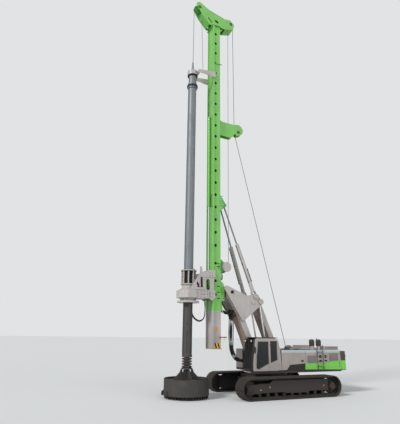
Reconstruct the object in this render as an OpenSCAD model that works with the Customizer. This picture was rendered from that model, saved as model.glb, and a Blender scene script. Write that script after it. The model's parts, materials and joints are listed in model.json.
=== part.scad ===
// Rotary piling rig: crawler undercarriage, slewing upper carriage with cab, parallelogram boom,
// tilting mast with gooseneck head, rotary drive on a crowd carriage, kelly bar and drilling bucket.
// +X is forward, +Y is left, +Z is up. The origin is on the ground under the slewing axis.

/* [Undercarriage] */
// Length over the track shoes
track_l = 6150; // [5800:10:6500]
// Height over the track shoes
track_h = 1060; // [1000:10:1120]
// Distance of each track's middle from the machine's middle
track_y = 1800; // [1750:10:1900]
// Width of a track shoe
shoe_w = 800; // [700:10:840]
// Number of shoes on a track
shoes = 52; // [44:1:56]
// Height of a grouser above its shoe
grouser_h = 30; // [20:1:40]
// Thickness of a shoe plate
shoe_t = 26; // [20:1:34]
// Depth of the chain inside the shoes
chain_d = 92; // [80:1:110]
// Width of the chain
chain_w = 230; // [200:5:260]
// Radius of the lower track rollers
roller_r = 95; // [80:1:105]
// Width of a track frame
frame_w = 430; // [400:5:460]
// Height of the ring seat's top face
ring_seat_z = 1080; // [1070:1:1100]
// Outer radius of the slewing ring
ring_r = 900; // [850:5:950]

/* [Upper carriage] */
// Height of the upper carriage's underside
deck_z0 = 1200; // [1190:1:1230]
// Thickness of the deck
deck_t = 120; // [100:5:140]
// Half width of the upper carriage
half_w = 1500; // [1450:5:1520]
// Rear face of the counterweight
rear_x = -4200; // [-4300:10:-4100]
// Front face of the counterweight
cw_x = -3780; // [-3850:5:-3740]
// Top of the counterweight
cw_z = 2280; // [2150:5:2320]
// Top of the side housings
house_z = 2340; // [2250:5:2400]
// Inner face of the side housings
house_y = 760; // [740:5:800]
// Front end of the left housing
house_x = 250; // [220:5:300]
// Front end of the right housing
right_x = 1400; // [1200:10:1500]
// Thickness of a housing wall and of a door
wall = 40; // [30:1:50]

/* [Cab] */
// Rear face of the cab
cab_x0 = 470; // [450:5:490]
// Front face of the cab
cab_x1 = 2030; // [2000:5:2080]
// Inner side of the cab
cab_y0 = 585; // [580:1:620]
// Top of the cab's roof
cab_z1 = 2940; // [2850:5:3000]
// Thickness of the cab's walls
cab_t = 60; // [45:1:70]
// Thickness of the window panes
pane_t = 8; // [6:1:12]

/* [Boom] */
// Boom foot pin, forward
foot_x = 1020; // [1000:5:1040]
// Boom foot pin, height
foot_z = 1600; // [1580:5:1620]
// Boom head pin, forward
head_x = 2070; // [2050:5:2090]
// Boom head pin, height
head_z = 4070; // [4050:5:4090]
// Link head pin, forward
link_x = 950; // [930:5:970]
// Link head pin, height
link_z = 4920; // [4900:5:4940]
// Half width of the boom
boom_y = 385; // [370:5:390]
// Radius of the boom's pins
pin_r = 70; // [60:1:80]
// Radius of the link head pin
link_pin_r = 50; // [45:1:60]

/* [Mast] */
// Rear face of the mast
mast_x = 3340; // [3330:1:3350]
// Depth of the mast box
mast_d = 500; // [480:5:520]
// Width of the mast box
mast_w = 740; // [700:5:760]
// Bottom of the lower mast
mast_z0 = 2360; // [2300:5:2420]
// Joint between the lower mast and the main mast
mast_z1 = 4350; // [4300:5:4400]
// Top of the main mast
mast_z2 = 23300; // [23200:10:23400]
// Wall of the mast box
mast_t = 20; // [12:1:25]
// Width over the guide rails
rail_w = 880; // [860:5:900]
// Mast joint, forward
tilt_x = 2800; // [2790:1:2810]
// Mast joint, height
tilt_z = 5370; // [5360:1:5380]

/* [Drilling tools] */
// Kelly axis, forward
kelly_x = 5140; // [5120:5:5160]
// Radius of the kelly's outer tube
kelly_r = 250; // [230:1:255]
// Radius over the kelly's drive strips
kelly_key_r = 272; // [260:1:280]
// Top of the kelly
kelly_z1 = 19450; // [19300:10:19500]
// Underside of the rotary drive's box
drive_z = 4980; // [4950:5:5000]
// Radius of the bucket
bucket_r = 1165; // [1100:5:1170]
// Rim of the bucket
bucket_z1 = 940; // [900:5:960]
// Underside of the bucket's floor
bucket_z0 = 170; // [150:5:200]

/* [Hidden] */
$fn = 48;

green = [0.42, 0.74, 0.30];
light = [0.66, 0.64, 0.62];
dark = [0.17, 0.15, 0.15];
steel = [0.30, 0.27, 0.26];
chrome = [0.85, 0.87, 0.88];
black = [0.07, 0.07, 0.07];

seat = 0.3;
side = [1, -1];

track_r = track_h / 2 - grouser_h;
track_d = track_l - track_h;
axle_z = track_h / 2;
chain_r = track_r - shoe_t - chain_d;
chain_z = axle_z - chain_r;
frame_z0 = chain_z + 2 * roller_r + 2 * seat;
frame_z1 = 760;
frame_y = track_y - frame_w / 2;

deck_z = deck_z0 + deck_t;
cab_z0 = deck_z;
knuckle_x = 20;
knuckle_y = 16;
door_x = 1020;
base = [400, deck_z + 100];
foot = [foot_x, foot_z];
head = [head_x, head_z];
link_head = [link_x, link_z];
link_foot = link_head - (head - foot);
luff_y = 490;
eye = [1270, 5200];
eye_y = 555;
lug = [3060, 10500];
lug_y = 230;
// Half the distance between the middles of two lug plates
lug_half = 125;
lug_pin_r = 34;
// Room for the rod eye's drift over its pin
lug_play = 52;
plate_y = 410;
outer_y = 660;
mast_x1 = mast_x + mast_d;
rail_x1 = mast_x1 + 30;
crowd_x = mast_x1 + 95;
kelly_ring_z = 19100;
flange_pcd = 1080;
tow_x = 1430;
winch = [-1530, 2130];
aux = [2900, 6830];
hole_x = mast_x1 - 180;

// Draws children's X-Y outline in the X-Z plane, from y0 to y1
module xz(y0, y1) {
    translate([0, y1, 0]) rotate([90, 0, 0]) linear_extrude(y1 - y0) children();
}

// Round bar across the machine at p, from y0 to y1
module bar_y(p, r, y0, y1) {
    translate([p[0], y1, p[1]]) rotate([90, 0, 0]) cylinder(r = r, h = y1 - y0);
}

// Box from corner a to corner b
module block(a, b) {
    translate(a) cube(b - a);
}

// Moves children so that +Z runs from p to q
module along(p, q) {
    d = q - p;
    translate(p) rotate([0, acos(d[2] / norm(d)), atan2(d[1], d[0])]) children();
}

// Outline of a strut: two discs and the straight flanks between them
module strut(p, pr, q, qr) {
    d = norm(q - p);
    a = atan2(q[1] - p[1], q[0] - p[0]);
    b = acos((pr - qr) / d);
    polygon([for (s = [[p, pr, b], [q, qr, b], [q, qr, -b], [p, pr, -b]])
        s[0] + s[1] * [cos(a + s[2]), sin(a + s[2])]]);
    translate(p) circle(pr);
    translate(q) circle(qr);
}

// Point at arc length s on the track's loop, h outside the shoe plates
function track_point(s, h) =
    let (arc = PI * track_r, r = track_r + h, total = 2 * track_d + 2 * arc, t = (s + total) % total)
    t < track_d ? [track_d / 2 - t, -r]
    : t < track_d + arc ? let (a = 270 - (t - track_d) / arc * 180) [-track_d / 2 + r * cos(a), r * sin(a)]
    : t < 2 * track_d + arc ? [-track_d / 2 + (t - track_d - arc), r]
    : let (a = 90 - (t - 2 * track_d - arc) / arc * 180) [track_d / 2 + r * cos(a), r * sin(a)];

module stadium(r) {
    square([track_d, 2 * r], center = true);
    for (s = side) translate([s * track_d / 2, 0]) circle(r, $fn = 64);
}

module track(y) {
    pitch = (2 * track_d + 2 * PI * track_r) / shoes;
    // Each ridge: foot, crown, crown, foot, as [place along the shoe, height]
    ridge = [[-26, 0], [-10, grouser_h], [10, grouser_h], [26, 0]];
    outline = [for (i = [0 : shoes - 1], k = [-1 : 1], p = ridge)
        track_point((i + 0.5) * pitch + k * pitch * 0.36 + p[0], p[1])];
    translate([0, 0, axle_z]) {
        xz(y - shoe_w / 2, y + shoe_w / 2) difference() {
            polygon(outline);
            stadium(track_r - shoe_t);
        }
        xz(y - chain_w / 2, y + chain_w / 2) difference() {
            stadium(track_r - shoe_t + 1);
            stadium(chain_r);
        }
    }
}

module left_track() { color(dark) track(track_y); }

module right_track() { color(dark) track(-track_y); }

module track_frames() {
    idler_x = track_d / 2;
    color(dark) for (s = side) {
        y = s * track_y;
        xz(y - frame_w / 2, y + frame_w / 2) polygon([[465 - idler_x, frame_z0], [idler_x - 465, frame_z0],
            [idler_x - 395, frame_z0 + 90], [idler_x - 395, 640], [idler_x - 515, frame_z1],
            [515 - idler_x, frame_z1], [395 - idler_x, 640], [395 - idler_x, frame_z0 + 90]]);
        // Outer side plate with its stepped edges
        outer = y + s * frame_w / 2;
        xz(min(outer - s * 25, outer), max(outer - s * 25, outer)) polygon([[idler_x + 195, 290],
            [idler_x + 195, 730], [1420, 760], [1230, chain_z + 2 * chain_r - 15],
            [245 - idler_x, chain_z + 2 * chain_r - 15], [245 - idler_x, 330], [-1510, 370], [-1030, 330],
            [-920, 270], [470, 290], [570, 400], [1190, 420], [1440, 340]]);
        for (k = side)
            block([idler_x - 396, y + k * 115 - 20, axle_z - 90], [idler_x + 90, y + k * 115 + 20,
                axle_z + 90]);
        inner = y - s * 215;
        block([-idler_x - 200, inner - 25, axle_z - 130], [396 - idler_x, inner + 25, axle_z + 130]);
    }
}

module track_wheels() {
    idler_x = track_d / 2;
    wheel_r = chain_r - seat;
    teeth = 23;
    for (s = side) {
        y = s * track_y;
        color(steel) {
            bar_y([idler_x, axle_z], wheel_r, y - 60, y + 60);
            bar_y([idler_x, axle_z], 110, y - 95 + seat, y + 95 - seat);
            for (i = [-4 : 4]) bar_y([i * (idler_x - 585) / 4, chain_z + roller_r + seat], roller_r,
                y - 130, y + 130);
            for (x = [-900, 900]) bar_y([x, (frame_z1 + axle_z + chain_r) / 2],
                (axle_z + chain_r - frame_z1) / 2 - seat, y - 90, y + 90);
            translate([-idler_x, 0, axle_z]) xz(y - 45, y + 45) polygon([for (i = [0 : teeth - 1],
                k = [0 : 3])
                let (r = k < 2 ? wheel_r - 8 : wheel_r - 55, a = 360 / teeth * (i + [0.1, 0.4, 0.6, 0.9][k]))
                r * [cos(a), sin(a)]]);
        }
        color(dark) {
            bar_y([-idler_x, axle_z], 250, min(y - s * 190, y), max(y - s * 190, y));
            bar_y([-idler_x, axle_z], 235, min(y, y + s * 150), max(y, y + s * 150));
            bar_y([-idler_x, axle_z], 180, min(y, y + s * 300), max(y, y + s * 300));
        }
    }
}

module car_body() {
    color(dark) {
        difference() {
            block([-1300, -1180, 430], [1300, 1180, 980]);
            for (s = side) block([-500, s * 1180 - 300, 420], [500, s * 1180 + 300, 990]);
        }
        translate([0, 0, 979]) cylinder(r = ring_r - 60, h = ring_seat_z - 979, $fn = 72);
        for (x = [-1000, 1000]) block([x - 280, -frame_y, 440], [x + 280, frame_y, 800]);
        for (s = side) difference() {
            union() {
                block([min(s * 1299, s * tow_x), -110, 670], [max(s * 1299, s * tow_x), 110, 730]);
                translate([s * tow_x, 0, 670]) cylinder(r = 110, h = 60);
            }
            translate([s * tow_x, 0, 660]) cylinder(r = 35, h = 80);
        }
    }
}

module slew_ring() {
    color(steel) translate([0, 0, ring_seat_z]) difference() {
        cylinder(r = ring_r, h = deck_z0 - ring_seat_z - seat, $fn = 72);
        translate([0, 0, -1]) cylinder(r = ring_r - 180, h = 200, $fn = 72);
    }
}

module platform() {
    color(dark) {
        difference() {
            block([cw_x + seat, -half_w, deck_z0], [780, half_w, deck_z]);
            translate([0, 0, deck_z0 - 1]) cylinder(r = 260, h = deck_t + 2);
        }
        block([779, -560, deck_z0], [1300, 560, deck_z]);
        block([779, cab_y0, deck_z0], [cab_x1, half_w, deck_z]);
        bar_y([cab_x1, deck_z0 + deck_t / 2], deck_t / 2, cab_y0, half_w);
        block([779, -half_w, deck_z0], [right_x, -house_y, deck_z]);
    }
    color(light) {
        // Boom foot lugs, link tower, luffing cylinder lugs and winch cheeks
        for (s = side) {
            y = s * (boom_y + 45);
            difference() {
                xz(y - 30, y + 30) {
                    polygon([[foot_x - 330, deck_z - 1], [foot_x + 260, deck_z - 1],
                        [foot_x + 150, foot_z], [foot_x - 150, foot_z]]);
                    translate(foot) circle(150);
                }
                bar_y(foot, pin_r, -600, 600);
            }
            difference() {
                xz(y - 30, y + 30) {
                    polygon([[-950, deck_z - 1], [180, deck_z - 1], link_foot + [150, 0],
                        link_foot + [-150, 0]]);
                    translate(link_foot) circle(150);
                }
                bar_y(link_foot, pin_r, -600, 600);
            }
            for (k = side) difference() {
                yc = s * luff_y + k * 70;
                xz(yc - 15, yc + 15) {
                    polygon([[base[0] - 120, deck_z - 1], [base[0] + 120, deck_z - 1],
                        base + [90, 0], base + [-90, 0]]);
                    translate(base) circle(90);
                }
                bar_y(base, 45, -700, 700);
            }
            difference() {
                xz(s * 410 - 25, s * 410 + 25) polygon([[winch[0] - 520, deck_z - 1], [winch[0] + 520,
                    deck_z - 1],
                    winch + [300, 120], winch + [120, 240], winch + [-120, 240], winch + [-300, 120]]);
                bar_y(winch, 90, -600, 600);
            }
        }
        block([-940, -boom_y - 20, deck_z - 1], [-900, boom_y + 20, deck_z + 400]);
        bar_y(foot, pin_r - seat, -boom_y - 75, boom_y + 75);
        bar_y(link_foot, pin_r - seat, -boom_y - 75, boom_y + 75);
        for (s = side) bar_y(base, 45 - seat, s * luff_y - 85, s * luff_y + 85);
        bar_y(winch, 90 - seat, -435, 435);
    }
}

module counterweight() {
    color(dark) {
        translate([0, 0, deck_z0 + 60]) linear_extrude(cw_z - deck_z0 - 60)
            polygon([[cw_x, -half_w], [cw_x, half_w], [rear_x + 70, half_w], [rear_x, half_w - 110],
                [rear_x, -half_w + 110], [rear_x + 70, -half_w]]);
        for (s = side) difference() {
            block([cw_x - 270, s * 1000 - 30, cw_z - 1], [cw_x - 120, s * 1000 + 30, cw_z + 140]);
            bar_y([cw_x - 195, cw_z + 70], 35, s * 1000 - 31, s * 1000 + 31);
        }
    }
}

module engine_block() {
    color(steel) block([-3500, -480, deck_z], [-2200, 480, 2100]);
}

module engine_hood() {
    color(light) {
        difference() {
            block([cw_x + 5, -house_y + seat, 2180], [-2100, house_y - seat, house_z + 60]);
            block([cw_x + 45, -house_y + wall, 2170], [-2140, house_y - wall, house_z + 20]);
        }
        // Air outlets over the side housings, and the air cleaners' feet
        for (k = side) difference() {
            block([-3700, min(k * 1000, k * 1440), house_z], [-2660, max(k * 1000, k * 1440),
                house_z + 200]);
            for (z = [50, 120]) block([-3620, k * 1440 - 25, house_z + z], [-2740, k * 1440 + 25,
                house_z + z + 36]);
        }
        for (x = [-2050, -2520]) translate([x, 1180, house_z]) cylinder(r = 110, h = 220);
    }
}

// Hollow side housing from x0 to x1, open inwards, with a doorway
module housing(x0, x1, s, door0, door1) {
    difference() {
        housing_bar(x0, x1, s, 0);
        housing_bar(x0 + wall, x1 - wall, s, wall);
        for (i = [0 : 7]) block([-2050, s > 0 ? half_w - wall - 5 : -half_w - 5, 1640 + i * 54],
            [-1420, s > 0 ? half_w + 5 : -half_w + wall + 5, 1666 + i * 54]);
        block([door0, s > 0 ? half_w - wall - 5 : -half_w - 5, 1420], [door1,
            s > 0 ? half_w + 5 : -half_w + wall + 5, 2260]);
    }
}

// Housing section with a bevelled upper edge, inset by t
module housing_bar(x0, x1, s, t) {
    y0 = t > 0 ? house_y - 1 : house_y;
    y1 = half_w - t;
    z0 = t > 0 ? deck_z - 1 : deck_z;
    z1 = house_z - t;
    translate([x1, 0, 0]) rotate([90, 0, -90]) linear_extrude(x1 - x0)
        polygon([for (p = [[y0, z0], [y1, z0], [y1, z1 - 60], [y1 - 60, z1], [y0, z1]]) [-s * p[0], p[1]]]);
}

module door(x0, x1, s) {
    y = s * (half_w - wall / 2);
    xz(y - wall / 2, y + wall / 2) difference() {
        translate([x0 + seat, 1425]) square([x1 - x0 - seat - 5, 830]);
        for (i = [0 : 9]) translate([x0 + 90, 1560 + i * 62]) square([x1 - x0 - 180, 26]);
    }
    for (z = [1480, 2110]) translate([x0 + knuckle_x, s * (half_w + knuckle_y), z])
        cylinder(r = knuckle_y + 2, h = 90);
}

module left_housing() { color(light) housing(cw_x + 5, house_x, 1, -3700, -2850); }

module right_housing() { color(light) housing(cw_x + 5, right_x, -1, -3700, -2850); }

module left_door() { color(light) door(-3700, -2850, 1); }

module right_door() { color(light) door(-3700, -2850, -1); }

module cab_profile(t) {
    polygon([[cab_x0 + t, cab_z0 + t], [cab_x1 - t, cab_z0 + t], [cab_x1 - t, 1700], [cab_x1 - 130 - t,
        cab_z1 - 60 - t],
        [cab_x1 - 200 - t, cab_z1 - t], [cab_x0 + 90 + t, cab_z1 - t], [cab_x0 + t, cab_z1 - 90 - t]]);
}

// Doorway, g smaller all round its front, and the door's and rear side window's openings
function doorway(g, hinge_gap) = [[door_x + hinge_gap, 1400 + g], [1900 - g, 1400 + g], [1900 - g, 1560],
    [1790 - g, 2830 - g], [door_x + hinge_gap, 2830 - g]];
door_window = [[door_x + 65, 1690], [1640, 1450], [1830, 1450], [1830, 1560], [1725, 2765], [door_x + 65,
    2765]];
function side_window(g) = [[545 + g, 2790 - g], [950 - g, 2790 - g], [950 - g, 1730 + g], [545 + g,
    1870 + g]];

module cab_shell() {
    color(light) difference() {
        xz(cab_y0, half_w) cab_profile(0);
        xz(cab_y0 + cab_t, half_w - cab_t) cab_profile(cab_t);
        xz(half_w - cab_t - 1, half_w + 1) {
            polygon(doorway(0, 0));
            polygon(side_window(0));
        }
        xz(cab_y0 - 1, cab_y0 + cab_t + 1) translate([700, 2000]) square([1000, 700]);
        block([cab_x1 - 400, cab_y0 + cab_t + 20, 1500], [cab_x1 + 10, half_w - cab_t - 20, cab_z1 - 160]);
        block([cab_x0 - 10, cab_y0 + 150, 2050], [cab_x0 + cab_t + 10, half_w - 150, 2700]);
    }
}

module cab_door() {
    color(light) xz(half_w - cab_t, half_w) difference() {
        polygon(doorway(5, seat));
        polygon(door_window);
    }
    color(light) for (z = [1480, 2600]) translate([door_x + knuckle_x, half_w + knuckle_y, z])
        cylinder(r = knuckle_y + 2, h = 90);
}

module cab_glass() {
    color([0.2, 0.25, 0.28]) {
        xz(half_w - 30, half_w - 30 + pane_t) polygon(side_window(seat));
        xz(cab_y0 + 22, cab_y0 + 22 + pane_t) translate([700 + seat, 2000 + seat])
            square([1000 - 2 * seat, 700 - 2 * seat]);
        block([cab_x0 + 22, cab_y0 + 150 + seat, 2050 + seat], [cab_x0 + 22 + pane_t,
            half_w - 150 - seat, 2700 - seat]);
        xz(cab_y0 + cab_t + 20 + seat, half_w - cab_t - 20 - seat) polygon([[cab_x1 - 22, 1500 + seat],
            [cab_x1 - 22, 1700], [cab_x1 - 141, cab_z1 - 160 - seat], [cab_x1 - 149, cab_z1 - 160 - seat],
            [cab_x1 - 30, 1700], [cab_x1 - 30, 1500 + seat]]);
    }
}

module cab_seat() {
    y = (cab_y0 + half_w) / 2;
    color(black) {
        block([700, y - 220, cab_z0 + cab_t], [1150, y + 220, 1700]);
        block([650, y - 260, 1699], [1200, y + 260, 1820]);
        block([600, y - 240, 1819], [730, y + 240, 2500]);
    }
}

// Place on the cab's front at height z, d in front of it
function cab_front(z, d) = [cab_x1 + d - max(0, z - 1700) * 130 / (cab_z1 - 60 - 1700), z];

module guard_rails() {
    color(black) {
        // Roof plate on two rails
        for (y = [cab_y0 + 60, half_w - 60]) block([cab_x0 + 120, y - 20, cab_z1], [cab_x1 - 230, y + 20,
            cab_z1 + 31]);
        block([cab_x0, cab_y0, cab_z1 + 30], [cab_x1 - 60, half_w, cab_z1 + 55]);
        // Grille in front of the windshield, with a foot on the cab and two lamps
        block([cab_x1, cab_y0, 1390], [cab_x1 + 30, half_w, 1440]);
        for (i = [0 : 4]) {
            y = cab_y0 + 15 + i * (half_w - cab_y0 - 30) / 4;
            w = i % 4 == 0 ? 15 : 5;
            xz(y - w, y + w) polygon([[cab_x1 + 20, 1390], [cab_x1 + 70, 1390], cab_front(1702, 70),
                cab_front(2890, 70), cab_front(2890, 25), cab_front(1700, 25)]);
        }
        for (z = [1450 : 90 : 2850]) bar_y(cab_front(z, 48), 11, cab_y0, half_w);
        for (y = [cab_y0 + 150, half_w - 150]) translate(at(cab_front(2800, 45), y)) rotate([0, 90, 0]) {
            cylinder(r1 = 35, r2 = 55, h = 50);
            translate([0, 0, 49]) cylinder(r = 55, h = 30);
        }
        // Access ladder with high stiles
        for (k = [[-2090, 3000], [-2490, 2620]]) {
            translate([k[0], half_w + 60, 1330]) cylinder(r = 16, h = k[1] - 1330);
            for (z = [1400, 2280]) block([k[0] - 12, half_w, z], [k[0] + 12, half_w + 60, z + 24]);
        }
        for (z = [1480 : 250 : 2230]) block([-2490, half_w + 45, z], [-2090, half_w + 75, z + 25]);
        // Bowls of the air cleaners
        for (x = [-2050, -2520]) translate([x, 1180, house_z + 220]) rotate_extrude() polygon([[0, 0],
            [140, 0],
            [150, 20], [150, 250], [142, 290], [118, 328], [80, 350], [0, 360]]);
    }
}

module winch_drum() {
    color(steel) difference() {
        union() {
            bar_y(winch, 300, -360, 360);
            for (y = [-360, 335]) bar_y(winch, 430, y, y + 25);
        }
        bar_y(winch, 90, -400, 400);
    }
}

module boom() {
    color(light) difference() {
        union() {
            xz(-boom_y, boom_y) strut(foot, 165, head, 165);
            xz(-330, 330) strut(foot + [120, 300], 260, head - [120, 300], 150);
            block([1250, -330, 1800], [1430, 330, 1950]);
        }
        xz(-boom_y + 40, boom_y - 40) strut(foot + [0.25, 0.3], 90, head, 90);
        bar_y(foot, pin_r, -500, 500);
        bar_y(head, pin_r, -500, 500);
    }
}

module rear_link() {
    color(steel) difference() {
        union() for (s = side) {
            y = s * 225;
            xz(y - 160, y + 160) strut(link_foot, 145, link_head, 145);
        }
        bar_y(link_foot, pin_r, -500, 500);
        bar_y(link_head, link_pin_r, -500, 500);
    }
    color(steel) bar_y(link_foot + 0.5 * (link_head - link_foot), 100, -100, 100);
}

luff_dir = (link_head - base) / norm(link_head - base);

function at(p, y) = [p[0], y, p[1]];

module luff_barrels() {
    color(light) for (s = side) difference() {
        union() {
            bar_y(base, 80, s * luff_y - 50, s * luff_y + 50);
            along(at(base, s * luff_y), at(link_head, s * luff_y)) {
                cylinder(r = 48, h = 110);
                translate([0, 0, 100]) cylinder(r = 78, h = 1500);
            }
        }
        along(at(base, s * luff_y), at(link_head, s * luff_y)) translate([0, 0, 150]) {
            cylinder(r = 62, h = 1400);
            cylinder(r = 50.3, h = 1500);
        }
        bar_y(base, 45, -700, 700);
    }
}

module luff_rods() {
    color(chrome) for (s = side) difference() {
        union() {
            along(at(base, s * luff_y), at(link_head, s * luff_y)) translate([0, 0, 700]) {
                cylinder(r = 50, h = norm(link_head - base) - 780);
                cylinder(r = 61.7, h = 120);
            }
            bar_y(link_head, 110, s * luff_y - 55, s * luff_y + 55);
        }
        bar_y(link_head, link_pin_r + 25, -700, 700);
    }
}

hose_rack = [2470, 4470];

// Plate of the tilting frame, up to x1
module triangle_plate(x1) {
    difference() {
        union() {
            polygon([[2240, 3985], [3250, 5540], [3250, 5640], [3170, 5715], [3080, 5725], [2450, 5470],
                [2120, 5350],
                [1890, 5245], [1560, 5260], eye + [0, 170], eye + [-150, 80], link_head + [-150, 20],
                link_head + [-110, -110], head + [-130, -130]]);
            translate(head) circle(190);
            translate(link_head) circle(160);
            translate(eye) circle(170);
        }
        translate([2780, 5390]) circle(80);
        translate([x1, 3000]) square(3000);
    }
}

module triangle_frame() {
    color(light) difference() {
        union() {
            for (s = side) {
                xz(s * plate_y - 15, s * plate_y + 15) triangle_plate(3000);
                xz(s * outer_y - 20, s * outer_y + 20) triangle_plate(3300);
                bar_y([1480, 4860], 90, min(s * outer_y, s * 710), max(s * outer_y, s * 710));
                span = [min(s * plate_y, s * outer_y), max(s * plate_y, s * outer_y)];
                for (p = [[1700, 4980, 70], [2500, 5150, 70], [head_x, head_z, 110]])
                    bar_y(p, p[2], span[0], span[1]);
            }
            bar_y([2300, 5250], 80, -plate_y, plate_y);
            bar_y(hose_rack, 35, -plate_y, plate_y);
        }
        bar_y(head, pin_r, -700, 700);
        bar_y(link_head, link_pin_r, -700, 700);
        bar_y(eye, 60, -700, 700);
        bar_y([tilt_x, tilt_z], 80, -700, 700);
    }
    color(steel) {
        bar_y(head, pin_r - seat, -690, 690);
        bar_y(link_head, link_pin_r - seat, -690, 690);
        for (s = side) bar_y(eye, 60 - seat, min(s * 400, s * 690), max(s * 400, s * 690));
    }
}

module mast_cross() {
    color(steel) {
        block([tilt_x - 150, -plate_y + 20, tilt_z - 170], [3085, plate_y - 20, tilt_z + 170]);
        bar_y([tilt_x, tilt_z], 80 - seat, -690, 690);
        translate([3084, 0, tilt_z]) rotate([0, 90, 0]) cylinder(r = 90 - seat, h = mast_x - 3084 - 20);
    }
}

mast_cyl_l = norm([lug[0] - eye[0], lug_y - eye_y, lug[1] - eye[1]]);

// Moves children to a mast cylinder's foot, with +Z along the cylinder at the given share of its lean
module mast_axis(s, lean = 1) {
    translate(at(eye, s * eye_y)) rotate([0, atan2(lug[0] - eye[0], lug[1] - eye[1]), 0])
        rotate([s * lean * asin((eye_y - lug_y) / mast_cyl_l), 0, 0]) children();
}

module mast_yokes() {
    color(steel) for (s = side) mast_axis(s, 0) difference() {
        union() {
            cube([180, 140, 160], center = true);
            rotate([0, 90, 0]) cylinder(r = 45, h = 290, center = true);
        }
        rotate([90, 0, 0]) cylinder(r = 60, h = 200, center = true);
    }
}

module mast_barrel(s) {
    color(light) mast_axis(s) difference() {
        union() {
            for (k = side) translate([k * 120 - 25, 0, 0]) rotate([90, 0, 90]) linear_extrude(50) {
                circle(70);
                translate([-70, 0]) square([140, 300]);
            }
            block([-145, -70, 240], [145, 70, 310]);
            translate([0, 0, 300]) cylinder(r = 110, h = 2860);
        }
        rotate([0, 90, 0]) cylinder(r = 45.3, h = 300, center = true);
        translate([0, 0, 350]) cylinder(r = 85, h = 2710);
        translate([0, 0, 400]) cylinder(r = 48.3, h = 3000);
    }
}

module mast_rod(s) {
    color(chrome) mast_axis(s) difference() {
        union() {
            translate([0, 0, 1000]) {
                cylinder(r = 48, h = mast_cyl_l - 1000 - lug_pin_r - lug_play - 12);
                cylinder(r = 84.7, h = 150);
            }
            translate([0, 0, mast_cyl_l]) rotate([90, 0, 0])
                cylinder(r = lug_pin_r + lug_play + 28, h = 60, center = true);
        }
        translate([0, 0, mast_cyl_l]) rotate([90, 0, 0]) cylinder(r = lug_pin_r + lug_play, h = 80,
            center = true);
    }
}

module left_mast_barrel() { mast_barrel(1); }

module right_mast_barrel() { mast_barrel(-1); }

module left_mast_rod() { mast_rod(1); }

module right_mast_rod() { mast_rod(-1); }

// Mast section: box with front guide rails, from z0 to z1
module mast_section(z0, z1) {
    translate([0, 0, z0]) linear_extrude(z1 - z0) difference() {
        union() {
            translate([mast_x, -mast_w / 2]) square([mast_d, mast_w]);
            translate([mast_x1 - 60, -rail_w / 2]) square([90, rail_w]);
        }
        translate([mast_x + mast_t, -mast_w / 2 + mast_t]) square([mast_d - 2 * mast_t,
            mast_w - 2 * mast_t]);
        translate([mast_x1, -mast_w / 2 + 60]) square([40, mast_w - 120]);
    }
}

module lower_mast() {
    color(light) {
        mast_section(mast_z0 + 40, mast_z1);
        block([mast_x - 20, -rail_w / 2, mast_z0], [rail_x1, rail_w / 2, mast_z0 + 41]);
    }
}

module main_mast() {
    color(green) {
        difference() {
            mast_section(mast_z1, mast_z2);
            for (i = [0 : 19]) bar_y([hole_x, mast_z2 - 700 - i * 770], 65, -500, 500);
            for (z = [5230, 5980, 6970]) bar_y([hole_x, z], 70, -500, 500);
            for (z = [5000, 5330, 5660, 6750, 6930]) block([mast_x + 60, -500, z], [mast_x + 230, 500,
                z + 50]);
        }
        xz(-330, 330) polygon([[mast_x + 1, mast_z1], [mast_x - 140, mast_z1], [mast_x - 140, mast_z1 + 100],
            [mast_x - 50, 4880], [mast_x + 1, 4910]]);
        block([mast_x - 40, -460, mast_z2 - 1], [rail_x1 + 60, 460, mast_z2 + 40]);
        difference() {
            xz(-340, 340) polygon([[mast_x + 1, tilt_z - 470], [3090, tilt_z - 470], [3090, tilt_z + 330],
                [3200, tilt_z + 530], [mast_x + 1, tilt_z + 640]]);
            translate([3090, 0, tilt_z]) rotate([0, 90, 0]) cylinder(r = 90, h = mast_x - 3090 - 15);
        }
        for (s = side, k = side) difference() {
            y = s * lug_y + k * lug_half;
            xz(y - 15, y + 15) {
                polygon([[mast_x + 1, lug[1] - 350], [mast_x + 1, lug[1] + 600], lug + [-40, 115],
                    lug + [-60, -100]]);
                translate(lug) circle(120);
            }
            bar_y(lug, lug_pin_r, -400, 400);
        }
        for (s = side) bar_y(lug, lug_pin_r - seat, s * lug_y - lug_half - 15,
            s * lug_y + lug_half + 15);
        // Auxiliary winch bracket
        for (s = side) xz(s * 240 - 15, s * 240 + 15) difference() {
            union() {
                polygon([[mast_x + 1, 6400], [mast_x + 1, 7250], [3200, 7200], aux + [40, 105],
                    aux + [-20, -110]]);
                translate(aux) circle(110);
            }
            translate(aux) circle(60);
        }
        // Rear rope bracket
        for (s = side) {
            y = s * 150;
            xz(y - 15, y + 15) {
                polygon([[mast_x + 1, 15230], [mast_x + 1, 16330], [3090, 16200], [2300, 16160], [1890, 16250],
                    [1680, 16120], [1570, 15880], [1640, 15640], [1770, 15520], [2030, 15430], [2190, 15540],
                    [2310, 15350], [2500, 15190], [2730, 15190]]);
                translate([2520, 15400]) circle(200);
            }
        }
        bar_y(rope_sheave, 200, -45, 45);
        for (y = [-60, 40]) bar_y(rope_sheave, 240, y, y + 20);
        bar_y(rope_sheave, 50, -150, 150);
    }
}

rope_sheave = [1930, 15700];
front_sheave = [4830, 24520];
rear_sheave = [2450, 23950];
sheave_r = 300;

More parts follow.
